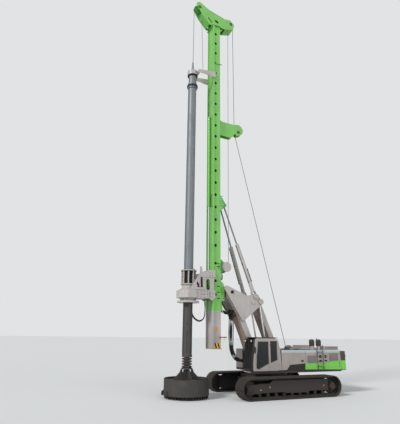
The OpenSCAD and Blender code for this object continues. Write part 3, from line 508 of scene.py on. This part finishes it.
def add_ropes():
    """Main and auxiliary hoist ropes, taut between winches, sheaves and hooks."""
    # The run from the front sheave down to the kelly
    low, high = Vector((KELLY_X - 0.01, 0, 20.15)), polar(FRONT_SHEAVE, SHEAVE_GROOVE, 0)
    run = straight_rope("kelly_rope", low, high)
    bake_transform(run)
    over = [polar(FRONT_SHEAVE, SHEAVE_GROOVE, a) for a in range(0, 105, 13)]
    over += [polar(REAR_SHEAVE, SHEAVE_GROOVE, a) for a in range(104, 181, 19)]
    over += [polar(BRACKET_ROLLER, ROLLER_GROOVE, a) for a in (0, -7, -14)]
    Form().sweep(over, ROPE_RADIUS, 8).piece("main_rope_upper", "rope", "mast")
    # The diagonal run down to the winch crosses four joints, one stretch at each
    top, foot = over[-1], polar(WINCH, WINCH_LEAD, -14)
    stops = [("mast", "mast_cross", top.z, 12.0), ("mast_cross", "triangle", 12.0, 5.2),
             ("triangle", "boom", 5.2, 3.8), ("boom", "upper", 3.8, foot.z)]
    for number, (first, second, upper_z, lower_z) in enumerate(stops):
        ends = [top + (foot - top) * ((top.z - z) / (top.z - foot.z)) for z in (upper_z, lower_z)]
        run = straight_rope(f"main_rope_run_{number}", *ends)
        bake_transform(run)
    auxiliary = Form().rod((2.60, 0.13, 23.9), (2.72, 0.13, 7.02), ROPE_RADIUS * 0.8, 8)
    auxiliary.rod((4.50, -0.10, 23.80), (4.37, -0.10, 19.75), ROPE_RADIUS * 0.8, 8)
    auxiliary.piece("auxiliary_rope", "rope", "mast")


def hose(name, points, radius, first, second=None, material="rubber"):
    """Hydraulic hose through the points, on the first body, or on no body when a second is given."""
    path = smooth_path(points)
    form = Form().sweep(path, radius, 10)
    if second:
        piece = form.mesh_only(name, material)
        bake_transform(piece)
    else:
        piece = form.piece(name, material, first)


def add_boom_hoses():
    """Bundle that hangs in front of the boom, from its foot up to the tilting frame."""
    for number in range(9):
        y = -0.30 + 0.075 * number
        out = 0.05 * math.sin(number * 2.1)
        points = [(1.42, y, 1.87), (1.64, y, 1.80 - out), (1.95, y, 1.74 - out), (2.30, y * 0.8, 1.92 - out),
                  (2.50, y * 0.7, 2.35), (2.54 + out, y * 0.65, 3.0), (2.52 + out, y * 0.7, 3.6),
                  (2.50, y * 0.9, 4.15), (2.47, y, 4.44)]
        hose(f"boom_hose_{number}", points, BOOM_HOSE_RADIUS, "boom", "triangle",
             "hose_sleeve" if number == 0 else "rubber")


def add_drive_hoses():
    """Loops that hang between the rotary drive and the carriage's foot, on the right side."""
    for number, (y, drop) in enumerate(((-0.55, 0.0), (-0.50, 0.045))):
        points = [(4.72, y, 4.97), (4.75, y - 0.02, 4.55), (4.63, y - 0.01, 4.08 + drop), (4.45, y, 3.88 + drop),
                  (4.22, y + 0.01, 3.80 + drop), (4.02, y + 0.02, 3.90 + drop), (3.93, -0.49, 4.10 + drop),
                  (3.90, -0.49, 4.45), (3.93 - drop, -0.49, 4.86 + drop)]
        hose(f"drive_hose_{number}", points, DRIVE_HOSE_RADIUS, "carriage")


def add_mast_hoses():
    """Hoses from the mast's foot to the tilting frame's rack, and short ones under the auxiliary winch."""
    for number in range(6):
        y = -0.25 + 0.10 * number
        out = 0.03 * math.cos(number * 1.7)
        points = [(3.19, y, 4.40), (3.05, y, 4.36), (2.88, y, 4.27 + out), (2.72, y, 4.26 + out),
                  (2.60, y, 4.34), (2.52, y, 4.455)]
        hose(f"mast_hose_{number}", points, DRIVE_HOSE_RADIUS, "mast_cross", "triangle")
    for number in range(3):
        y = -0.12 + 0.12 * number
        points = [(3.33, y, 6.75), (3.22, y, 6.62), (3.12, y, 6.42), (3.10, y, 6.20), (3.20, y, 6.06),
                  (3.33, y, 6.02)]
        hose(f"aux_hose_{number}", points, AUX_HOSE_RADIUS, "mast")


def add_hanging_line():
    """Thin light line that hangs from the mast's rear flare."""
    path = smooth_path([(3.20, 0.32, 4.345), (3.15, 0.34, 4.10), (3.12, 0.35, 3.60), (3.11, 0.35, 2.40),
                        (3.12, 0.35, 1.30)])
    line = Form().sweep(path, LINE_RADIUS, 8).piece("hanging_line", "light_rope", "mast")


def add_winch_turns():
    """Rope wound on both drums."""
    for body, (x, z), radius, reach, pitch, rope in (("winch_drum", WINCH, 0.316, 0.31, 0.0345, 0.016),
                                                     ("aux_drum", AUX_WINCH, 0.1625, 0.175, 0.0275, 0.0125)):
        turns = int(2 * reach / pitch)
        path = [(x + radius * math.cos(a), -reach + pitch * a / (2 * math.pi), z + radius * math.sin(a))
                for a in (2 * math.pi * k / 20 for k in range(20 * turns + 1))]
        Form().sweep(path, rope, 6).piece(f"{body}_rope", "rope", body)


# Paint bands on the housings, as (forward, up) lines from the front back
BAND_TOP = [(-1.28, 1.655), (-2.92, 1.655), (-3.02, 1.74), (-4.14, 1.775)]
BAND_FOOT = [(-1.25, 1.34), (-1.90, 1.33), (-3.78, 1.30), (-4.14, 1.28)]
DARK_WEDGE = [(-0.05, 1.34), (-0.26, 1.59), (-1.28, 1.655), (-1.25, 1.34)]
DARK_SILL = [(-4.12, 1.262), (0.24, 1.262), (0.24, 1.339), (-1.25, 1.339), (-1.90, 1.329), (-3.78, 1.299),
             (-4.12, 1.279)]
# Distances from the middle plane between which the paint lies, on the housings and on a door's knuckle
PAINT = (1.5005, 1.503)
KNUCKLE_PAINT = (1.5342, 1.5360)
DOOR_GAP = 0.006


def line_at(points, x):
    """Height at x of the line through points that go down in x."""
    for (xa, za), (xb, zb) in zip(points, points[1:]):
        if xb <= x <= xa:
            return za + (zb - za) * (xa - x) / (xa - xb)
    return points[-1][1]


def band(form, side, x0, x1, low=-math.inf, high=math.inf):
    """Strip of the green band from x0 forward to x1, kept between low and high."""
    turns = sorted({x0, x1} | {x for x, _ in BAND_TOP + BAND_FOOT if x0 < x < x1})
    top = [(x, min(line_at(BAND_TOP, x), high)) for x in turns]
    foot = [(x, max(line_at(BAND_FOOT, x), low)) for x in turns]
    form.side_prism(side, foot + top[::-1], *PAINT)


def add_stripes():
    """A dark wedge and sill, and a green band that goes on over the door and the counterweight."""
    for side, tag in SIDES.items():
        low, high = node_box(f"{tag}_door")
        x0, x1, z0 = low[0] - DOOR_GAP, high[0] + DOOR_GAP, low[2] - DOOR_GAP
        fixed = Form()
        band(fixed, side, x1, -1.28)
        band(fixed, side, x0, x1, high=z0)
        band(fixed, side, -3.774, x0)
        band(fixed, side, -4.125, -3.786)
        fixed.piece(f"green_band_{tag}", "band_green", "upper")
        hung = Form()
        band(hung, side, low[0] + 0.045, high[0] - 0.002, low=low[2] + 0.004)
        hung.side_box(side, (low[0] - 0.004, low[0] + 0.047), KNUCKLE_PAINT,
                      (low[2] + 0.004, line_at(BAND_TOP, low[0])))
        hung.piece(f"green_band_{tag}_door", "band_green", f"{tag}_door")
        dark = Form().side_prism(side, DARK_WEDGE, *PAINT).side_prism(side, DARK_SILL, *PAINT)
        dark.piece(f"dark_band_{tag}", "sill_dark", "upper")


# Bolts, pins and small fittings


def round_places(middle, axis, radius, count, start=0.0):
    """Places on a circle round middle, across axis."""
    across = Vector(axis).orthogonal().normalized()
    third = Vector(axis).cross(across).normalized()
    return circle(Vector(middle), across, third, radius, count, start)


def bolts(form, places, axis, radius=0.02, height=0.018):
    """Hexagon heads at the places."""
    for place in places:
        form.turned(place, axis, [(0, radius), (height * 0.8, radius), (height, radius * 0.8)], 6)


def kelly_bolts(form, z, ring, count, radius, height, start=0.0):
    """Upright bolts in a ring round the kelly's axis."""
    bolts(form, round_places((KELLY_X, 0, z), UP, ring, count, start), UP, radius, height)


def pin_cap(form, side, place, face, radius):
    """Round keeper plate with four bolts on the outer end of a cross pin."""
    x, z = place
    out = (0, side, 0)
    y = side * (face + 0.001)
    form.turned((x, y, z), out, [(0, radius), (0.016, radius), (0.020, radius - 0.006)], 28)
    bolts(form, round_places((x, y + side * 0.019, z), out, radius * 0.62, 4, 0.6), out, 0.018, 0.016)


def add_triangle_details():
    """Caps over the tilting frame's rear pins, and near-black discs of painted shade for its round holes."""
    caps, holes = Form(), Form()
    cap = [(0, 0.15), (0.05, 0.15), (0.06, 0.14)]
    for side in SIDES:
        out = (0, side, 0)
        for x, z in ((0.95, 4.92), (1.27, 5.20)):
            caps.turned((x, side * (TRIANGLE_FACE + 0.001), z), out, cap, 32)
            bolts(caps, round_places((x, side * (TRIANGLE_FACE + 0.060), z), out, 0.10, 6), out, 0.016, 0.016)
        # Painted shade: a near-black disc where each round hole is
        holes.turned((2.78, side * (TRIANGLE_FACE + 0.0003), 5.39), out, [(0, 0.085), (0.004, 0.085)], 24)
    caps.piece("triangle_pin_caps", "light_paint", "triangle")
    holes.piece("triangle_hole_shade", "void", "triangle")


def add_mast_bolts():
    """Painted shade in the mast's holes, its bolts and the caps of the head's and bracket's pins."""
    hole_shade, mast = Form(), Form()
    for side in SIDES:
        out = (0, side, 0)
        # Near-black discs over the mast's holes paint the shade inside them
        for z in [5.23, 5.98, 6.97] + [22.64 - 0.77 * k for k in range(20)]:
            hole_shade.turned((3.66, side * (MAST_FACE + 0.0003), z), out, [(0, 0.078), (0.004, 0.074)], 20)
        bolts(mast, [(3.15, side * 0.341, z) for z in (5.05, 5.35, 5.65, 5.85)], out)
        pin_cap(mast, side, FRONT_SHEAVE, HEAD_FACE, 0.11)
        pin_cap(mast, side, REAR_SHEAVE, HEAD_FACE, 0.11)
        pin_cap(mast, side, BRACKET_ROLLER, BRACKET_FACE, 0.10)
        bolts(mast, [(x, side * 0.43, 23.341) for x in (3.40, 3.52, 3.64, 3.76)], UP, 0.022, 0.02)
        bolts(mast, [(3.42, side * (MAST_FACE + 0.001), z) for z in (18.65, 18.40)], out, 0.016)
    hole_shade.piece("mast_hole_shade", "void", "mast")
    mast.piece("mast_bolts", "bare_steel", "mast")


def add_drive_details():
    """Bolts of the rotary drive and its carriage, painted shade inside the damper cage, the neck flange and
    painted shadow lines on the carriage.
    """
    drive = Form()
    kelly_bolts(drive, 5.745, 0.42, 16, 0.013, 0.014)
    kelly_bolts(drive, 6.50, 0.40, 16, 0.015, 0.016)
    for side in SIDES:
        out = (0, side, 0)
        bolts(drive, [(x, side * (CARRIAGE_FACE + 0.001), z)
                      for x in (3.93, 4.08) for z in (5.10, 5.25, 6.22, 6.38)], out)
        bolts(drive, [(x, side * (DRIVE_FACE + 0.001), z) for x in (4.22, 4.42, 4.62) for z in (5.04, 5.34)], out)
        bolts(drive, [(x, side * (DRIVE_FACE + 0.0005), 5.19) for x in (4.22, 4.42, 4.62)], out, 0.03, 0.01)
    kelly_bolts(drive, 5.455, 0.445, 20, 0.016, 0.016)
    drive.piece("drive_bolts", "bare_steel", "carriage")
    # Painted shade: a near-black sleeve shows the shade between the damper cage's springs
    Form().tube((KELLY_X, 0, 5.746), 0.708, 0.312, 0.296, 40).piece("cage_shade_sleeve", "void", "carriage")
    flange = Form().tube((KELLY_X, 0, 5.39), 0.065, 0.50, 0.352, 40)
    flange.piece("neck_flange", "light_paint", "carriage", bevel=0.004)
    # Painted shadow lines along the edges and joints of the carriage's plates
    dark_lines = Form()
    for side in SIDES:
        for outline in ([(4.36, 5.412), (4.90, 5.412), (4.90, 5.424), (4.36, 5.424)],
                        [(3.86, 6.118), (4.36, 6.106), (4.36, 6.118), (3.86, 6.130)],
                        [(4.84, 5.56), (4.72, 5.80), (4.69, 5.56)],
                        [(4.63, 5.56), (4.50, 5.56), (4.52, 6.05), (4.57, 6.03)]):
            dark_lines.side_prism(side, outline, CARRIAGE_FACE + LIFT, CARRIAGE_FACE + 0.0035)
    dark_lines.piece("carriage_shadow_lines", "void", "carriage")
    sleeve = Form()
    kelly_bolts(sleeve, 4.829, 0.50, 16, 0.02, 0.022, 0.2)
    sleeve.piece("flange_bolts", "bare_steel", "drive_sleeve")


def add_collar_bolts():
    """Two rows of bolts that point outward round the kelly's collar."""
    collar = Form()
    for z in (18.20, 18.38):
        middle = Vector((KELLY_X, 0, z))
        for place in round_places(middle, UP, 0.299, 12):
            bolts(collar, [place], place - middle, 0.014, 0.014)
    collar.piece("kelly_collar_bolts", "bare_steel", "kelly")


def add_barrel_pipes():
    """Oil pipes along the mast cylinders' barrels, with a union at both ends and in the middle."""
    for side, tag in SIDES.items():
        foot, top = Vector((1.27, side * 0.555, 5.20)), Vector((3.06, side * 0.230, 10.50))
        along = (top - foot).normalized()
        for toward, low, high in (((0.118, side * 0.055, 0), 0.9, 3.05), ((-0.095, side * 0.095, 0), 0.9, 1.6)):
            toward = Vector(toward)
            start = foot + toward - along * toward.dot(along)
            pipe = Form().rod(start + along * low, start + along * high, 0.018, 10)
            for k in (low, (low + high) / 2, high):
                pipe.rod(start + along * (k - 0.03), start + along * (k + 0.03), 0.034, 8)
            pipe.piece(f"{tag}_barrel_pipe_{high:.0f}", "bare_steel", f"{tag}_mast_barrel")


def add_track_details():
    """Hub covers and orange marks on the track frames, and a near-black sheet of painted shade between the loops'
    runs.
    """
    hubs, marks, shade_backs = Form(), Form(), Form()
    hub = [(0, 0.17), (0.03, 0.17), (0.045, 0.15), (0.05, 0.06), (0.07, 0.05)]
    half = [(2.2, 0.13), (2.48, 0.25), (2.60, 0.53), (2.50, 0.84), (2.2, 0.95)]
    for side in SIDES:
        out = (0, side, 0)
        for x in (-2.545, 2.545):
            hubs.turned((x, side * (FRAME_FACE + 0.001), 0.53), out, hub, 28)
            bolts(hubs, round_places((x, side * (FRAME_FACE + 0.030), 0.53), out, 0.125, 10), out, 0.014, 0.014)
        for x, z in ((1.94, 0.48), (1.40, 0.59), (-2.01, 0.57)):
            marks.turned((x, side * (FRAME_FACE + 0.0001), z), out, [(0, 0.034), (0.006, 0.030)], 16)
        # Painted shade: a near-black sheet inside each loop stands for the shade under the machine
        shade_backs.side_prism(side, half + [(-x, z) for x, z in half[::-1]], 1.56, 1.58)
    hubs.piece("track_hubs", "track_steel", "undercarriage")
    marks.piece("frame_marks", "orange_paint", "undercarriage")
    shade_backs.piece("track_shade_backs", "void", "undercarriage")


# Cab


def seal(outline, name, body, width=0.022):
    """Black rubber frame round a window in the cab's outer face."""
    middle = Vector((sum(p[0] for p in outline), sum(p[1] for p in outline))) / len(outline)
    form = Form()
    for a, b in zip(outline, outline[1:] + outline[:1]):
        inner = [Vector(a), Vector(b)]
        outer = [p + (p - middle).normalized() * width for p in inner]
        form.prism([tuple(p) for p in inner + outer[::-1]], HOUSING_FACE + 0.0001, HOUSING_FACE + 0.007)
    form.piece(name, "rubber", body)


def add_cab_windows():
    """Pane of the cab's door, and the seals of the door's and the side window."""
    door = [(1.086, 1.693), (1.641, 1.453), (1.827, 1.453), (1.827, 1.559), (1.723, 2.762), (1.086, 2.762)]
    Form().prism(door, 1.468, 1.474).piece("cab_door_pane", "glass", "cab_door")
    seal(door, "door_window_seal", "cab_door")
    seal([(0.548, 1.872), (0.947, 1.733), (0.947, 2.787), (0.548, 2.787)], "side_window_seal", "upper")


def add_cab_fittings():
    """Door handles, levers and pedals inside, lamp lenses and the mirror."""
    grip = Form()
    grip.rod((1.66, 1.535, 1.47), (1.80, 1.535, 1.47), 0.022)
    grip.box((1.665, 1.500, 1.455), (1.69, 1.54, 1.485)).box((1.77, 1.500, 1.455), (1.795, 1.54, 1.485))
    grip.rod((1.858, 1.55, 1.62), (1.82, 1.55, 2.15), 0.012)
    for x, z in ((1.857, 1.64), (1.823, 2.12)):
        grip.rod((x, 1.497, z), (x, 1.552, z), 0.010)
    grip.piece("cab_door_handles", "black_paint", "cab_door")
    inside = Form()
    lever = [(0, 0.03), (0.04, 0.012), (0.15, 0.012), (0.16, 0.026), (0.25, 0.024)]
    for y in (0.74, 1.30):
        inside.box((0.78, y - 0.05, 1.24), (1.28, y + 0.05, 1.86))
        inside.turned((1.20, y, 1.86), (0.1, 0, 1), lever, 12)
    inside.box((1.60, 0.70, 1.24), (1.66, 0.78, 1.95)).box((1.57, 0.66, 1.94), (1.61, 0.96, 2.18))
    inside.box((1.55, 0.90, 1.24), (1.75, 1.22, 1.29))
    inside.piece("cab_controls", "black_paint", "upper", bevel=0.004)
    lens = Form()
    for y in (0.735, 1.35):
        lens.turned((2.03, y, 2.80), FORWARD, [(0, 0.048), (0.012, 0.044), (0.020, 0.03)], 20)
    lens.piece("cab_lamp_lenses", "lens", "upper")
    mirror = Form()
    mirror.rod((1.96, 1.47, 2.50), (2.03, 1.70, 2.52), 0.012).rod((1.99, 1.47, 2.20), (2.03, 1.70, 2.20), 0.012)
    mirror.rod((2.03, 1.70, 2.16), (2.03, 1.70, 2.56), 0.012).box((2.02, 1.64, 2.22), (2.05, 1.80, 2.50))
    mirror.piece("cab_mirror", "black_paint", "upper", bevel=0.004)


def add_cab_front():
    """Dark sill under the cab, its apron and bumper, and the wire mesh of the front guard."""
    Form().box((0.25, 1.5002, 1.225), (2.05, 1.506, 1.300)).piece("platform_strip", "sill_dark", "upper")
    Form().box((2.0905, 0.60, 1.215), (2.100, 1.498, 1.42)).piece("cab_apron", "sill_dark", "upper")
    Form().box((2.09, 0.66, 1.235), (2.13, 1.34, 1.275)).piece("cab_bumper", "light_paint", "upper", bevel=0.006)
    # The guard stands upright up to the bend and leans back above it
    front, bend, lean = 2.078, 1.70, 0.130 / 1.18
    mesh = Form()
    for k in range(15):
        z = 1.495 + 0.09 * k
        x = front - max(0, z - bend) * lean
        mesh.rod((x, 0.60, z), (x, 1.485, z), 0.007, 6)
    for k in range(11):
        y = 0.66 + 0.0765 * k
        mesh.rod((front, y, 1.44), (front, y, bend), 0.006, 6).rod((front, y, bend), (1.948, y, 2.86), 0.006, 6)
    mesh.piece("guard_mesh", "black_paint", "upper")


# Housings and hood


def housing_patch(form, side, x0, x1, z0, z1, thick):
    """Thin plate on a housing's outer face."""
    form.side_box(side, (x0, x1), (HOUSING_FACE + LIFT, HOUSING_FACE + LIFT + thick), (z0, z1))


def add_housing_details():
    """Seams, plates and grips on the housings, rear lamps, and a rounded edge and strip along the housings' tops
    in a painted sky reflection.
    """
    dark_lines, plates, grips, lamps = Form(), Form(), Form(), Form()
    edge, pale = Form(), Form()
    for side in SIDES:
        for x in (-1.31, -2.08):
            housing_patch(dark_lines, side, x - 0.004, x + 0.004, 1.66, 2.33, 0.0012)
        housing_patch(dark_lines, side, -2.78, 0.20, 2.30, 2.304, 0.0012)
        for x in (-2.33, -2.70):
            housing_patch(plates, side, x - 0.075, x + 0.075, 1.92, 2.08, 0.004)
        for x, z in ((-2.33, 1.78), (-2.70, 1.78), (-1.09, 1.78)):
            housing_patch(grips, side, x - 0.08, x + 0.08, z - 0.04, z + 0.04, 0.012)
        y = side * 1.32
        lamps.box((-4.212, y - 0.12, 1.95), (-4.2005, y + 0.12, 2.05))
        # A rounded top edge and a strip under it, both pale as a painted sky reflection
        edge.rod((0.235, side * 1.452, 2.292), (-3.765, side * 1.452, 2.292), 0.050, 24)
        pale.side_box(side, (-3.70, 0.24), (1.4995, 1.5012), (2.215, 2.296))
    dark_lines.piece("housing_seams", "black_paint", "upper")
    plates.piece("housing_plates", "dark_paint", "upper")
    grips.piece("housing_grips", "void", "upper", bevel=0.003)
    lamps.piece("rear_lamps", "lamp_red", "upper", bevel=0.003)
    edge.piece("housing_top_edges", "sky_sheen_paint", "upper")
    pale.piece("housing_top_highlight_strips", "sky_sheen_paint", "upper")


def add_top_details():
    """Panel behind the cab, slats on the hood, treads on the walkway and the exhaust pipe."""
    panel = [(0.27, 1.335), (0.468, 1.335), (0.468, 2.86), (0.42, 2.80), (0.33, 2.34)]
    Form().prism(panel, 1.44, 1.497).piece("cab_rear_panel", "light_paint", "upper", bevel=0.004)
    slats = Form()
    (x0, _, _), (_, y1, z1) = node_box("engine_hood")
    for k in range(2):
        slats.box((x0 + 0.12, y1, z1 - 0.075 - 0.09 * k), (x0 + 0.95, y1 + 0.004, z1 - 0.063 - 0.09 * k))
    slats.piece("hood_slats", "black_paint", "upper")
    tread = Form()
    for k in range(13):
        tread.box((-1.85 + 0.13 * k, 0.80, 2.3405), (-1.79 + 0.13 * k, 1.44, 2.352))
    tread.piece("walkway_treads", "black_paint", "upper")
    pipe = Form().sweep(smooth_path([(-2.40, 0.62, 2.36), (-2.40, 0.62, 2.60), (-2.46, 0.62, 2.74),
                                     (-2.62, 0.62, 2.80)]), 0.06, 16)
    pipe.turned((-2.40, 0.62, 2.34), UP, [(0, 0.11), (0.02, 0.11), (0.02, 0.07), (0.05, 0.065)], 20)
    pipe.piece("exhaust_pipe", "bare_steel", "upper")


# Mast, head, kelly and bucket


def add_mast_marks():
    """Hazard stripes and an orange patch on the lower mast, ribs, a scale and a tool bar."""
    hazard_black, hazard_yellow = Form(), Form()
    for side in SIDES:
        hazard_yellow.side_box(side, (3.36, 3.76), (MAST_FACE + LIFT, MAST_FACE + 0.002), (2.41, 2.67))
        for x in (3.38, 3.56):
            stripe = [(x, 2.41), (x + 0.085, 2.41), (x + 0.185, 2.67), (x + 0.10, 2.67)]
            hazard_black.side_prism(side, stripe, MAST_FACE + 0.0022, MAST_FACE + 0.004)
    hazard_black.piece("hazard_dark", "void", "mast")
    hazard_yellow.piece("hazard_yellow", "yellow_paint", "mast")
    face = MAST_FACE + LIFT
    Form().box((3.50, face, 3.25), (3.64, 0.373, 3.48)).piece("orange_patch", "orange_paint", "mast")
    ribs = Form()
    for z in (10.42, 10.57, 10.72, 10.87, 11.02):
        ribs.box((3.17, face, z), (3.42, 0.378, z + 0.035))
    for z in (6.66, 6.80, 6.93):
        ribs.box((3.30, face, z), (3.48, 0.390, z + 0.05))
    ribs.piece("mast_ribs", "deep_green", "mast")
    marks = Form()
    for k in range(7):
        marks.box((3.70, face, 5.66 + 0.13 * k), (3.73, 0.376, 5.70 + 0.13 * k))
    marks.piece("mast_marks", "void", "mast")
    bar = Form().rod((3.00, 0.41, 2.97), (3.46, 0.41, 2.97), 0.030)
    bar.box((3.38, 0.3695, 2.94), (3.44, 0.41, 3.00))
    bar.piece("tool_bar", "rust_steel", "mast")


def add_head_details():
    """Cover plates, gussets, steps and rope guard on the mast's head, and the grip on the mast's side."""
    cover = Form()
    for (xa, za), (xb, zb) in (((2.53, 24.245), (3.06, 24.165)), ((3.06, 24.165), (4.12, 24.508)),
                               ((4.10, 23.385), (4.66, 24.01)), ((2.91, 23.355), (2.30, 23.55))):
        across = Vector((za - zb, xb - xa)).normalized() * 0.010
        cover.prism([(xa - across.x, za - across.y), (xb - across.x, zb - across.y),
                     (xb + across.x, zb + across.y), (xa + across.x, za + across.y)], -0.286, 0.286)
    for side in SIDES:
        cover.prism([(3.339, 22.92), (3.339, 23.298), (3.02, 23.338)], side * 0.2 - 0.02, side * 0.2 + 0.02)
        cover.side_box(side, (3.22, 3.70), (MAST_FACE + 0.0005, 0.41), (20.27, 20.33))
    cover.piece("head_covers", "green_paint", "mast", bevel=0.004)
    guard = Form()
    # Ends of the guard's two rods, from the front back
    ends = ((4.38, 24.72), (2.75, 24.24))
    for y in (0.20, -0.20):
        guard.rod(*[(x, y, z) for x, z in ends], 0.014, 8)
    for share in (0.02, 0.5, 0.98):
        x, z = (a + (b - a) * share for a, b in zip(*ends))
        guard.rod((x, 0.20, z), (x, 0.20, z - 0.16), 0.012, 8).rod((x, -0.20, z), (x, -0.20, z - 0.16), 0.012, 8)
    guard.piece("head_rope_guard", "black_paint", "mast")
    loop = smooth_path([(3.86, 0.33, 11.05), (3.94, 0.34, 10.98), (3.95, 0.34, 10.65), (3.94, 0.34, 10.36),
                        (3.86, 0.33, 10.28)])
    Form().sweep(loop, 0.022, 8).piece("mast_grip", "black_paint", "mast")


def add_kelly_rings():
    """Rubber rings round the kelly's top tube."""
    rings = Form().turned((KELLY_X, 0, 18.21), UP, [(0, 0.30), (0.02, 0.345), (0.12, 0.345), (0.14, 0.30)], 40)
    rings.turned((KELLY_X, 0, 19.02), UP, [(0, 0.26), (0.015, 0.325), (0.075, 0.325)], 40)
    rings.piece("kelly_rings", "rubber", "kelly")


def add_bucket_teeth():
    """Ring of short tapered teeth under the bucket's floor."""
    count, ring, top, length = 44, 1.10, 0.16, 0.125
    teeth = Form()
    for k in range(count):
        a = 2 * math.pi * k / count
        out, across = Vector((math.cos(a), math.sin(a), 0)), Vector((-math.sin(a), math.cos(a), 0))
        root = Vector((KELLY_X, 0, top)) + out * ring
        tip = root - Vector(UP) * length
        teeth.loft([root + out * u + across * v for u, v in ((-0.03, -0.022), (0.03, -0.022),
                                                            (0.03, 0.022), (-0.03, 0.022))],
                   [tip + out * u + across * v for u, v in ((-0.012, -0.018), (0.022, -0.018),
                                                           (0.022, 0.018), (-0.012, 0.018))])
    teeth.piece("bucket_rim_teeth", "void", "bucket_door")


def add_kelly_marks():
    """Row of small dark dimples down the kelly's lower tube, on the side that the photograph shows."""
    marks = Form()
    bearing = math.radians(62)
    out = Vector((math.cos(bearing), math.sin(bearing), 0))
    for z in [2.22 + 0.10 * k for k in range(11)] + [3.65, 4.60]:
        place = Vector((KELLY_X, 0, z)) + out * (KELLY_RADIUS - 0.01)
        marks.turned(place, out, [(0, 0.028), (0.012, 0.028)], 8)
    marks.piece("kelly_marks", "void", "kelly")


add_camera()
add_light()
add_floor()
paint_nodes()
repaint_nodes()
add_ropes()
add_boom_hoses()
add_drive_hoses()
add_mast_hoses()
add_stripes()
add_triangle_details()
add_mast_bolts()
add_drive_details()
add_collar_bolts()
add_barrel_pipes()
add_track_details()
add_winch_turns()
add_cab_windows()
add_cab_fittings()
add_cab_front()
add_housing_details()
add_top_details()
add_mast_marks()
add_head_details()
add_kelly_rings()
add_bucket_teeth()
add_kelly_marks()
add_hanging_line()

bpy.context.scene.view_settings.view_transform = "Standard"
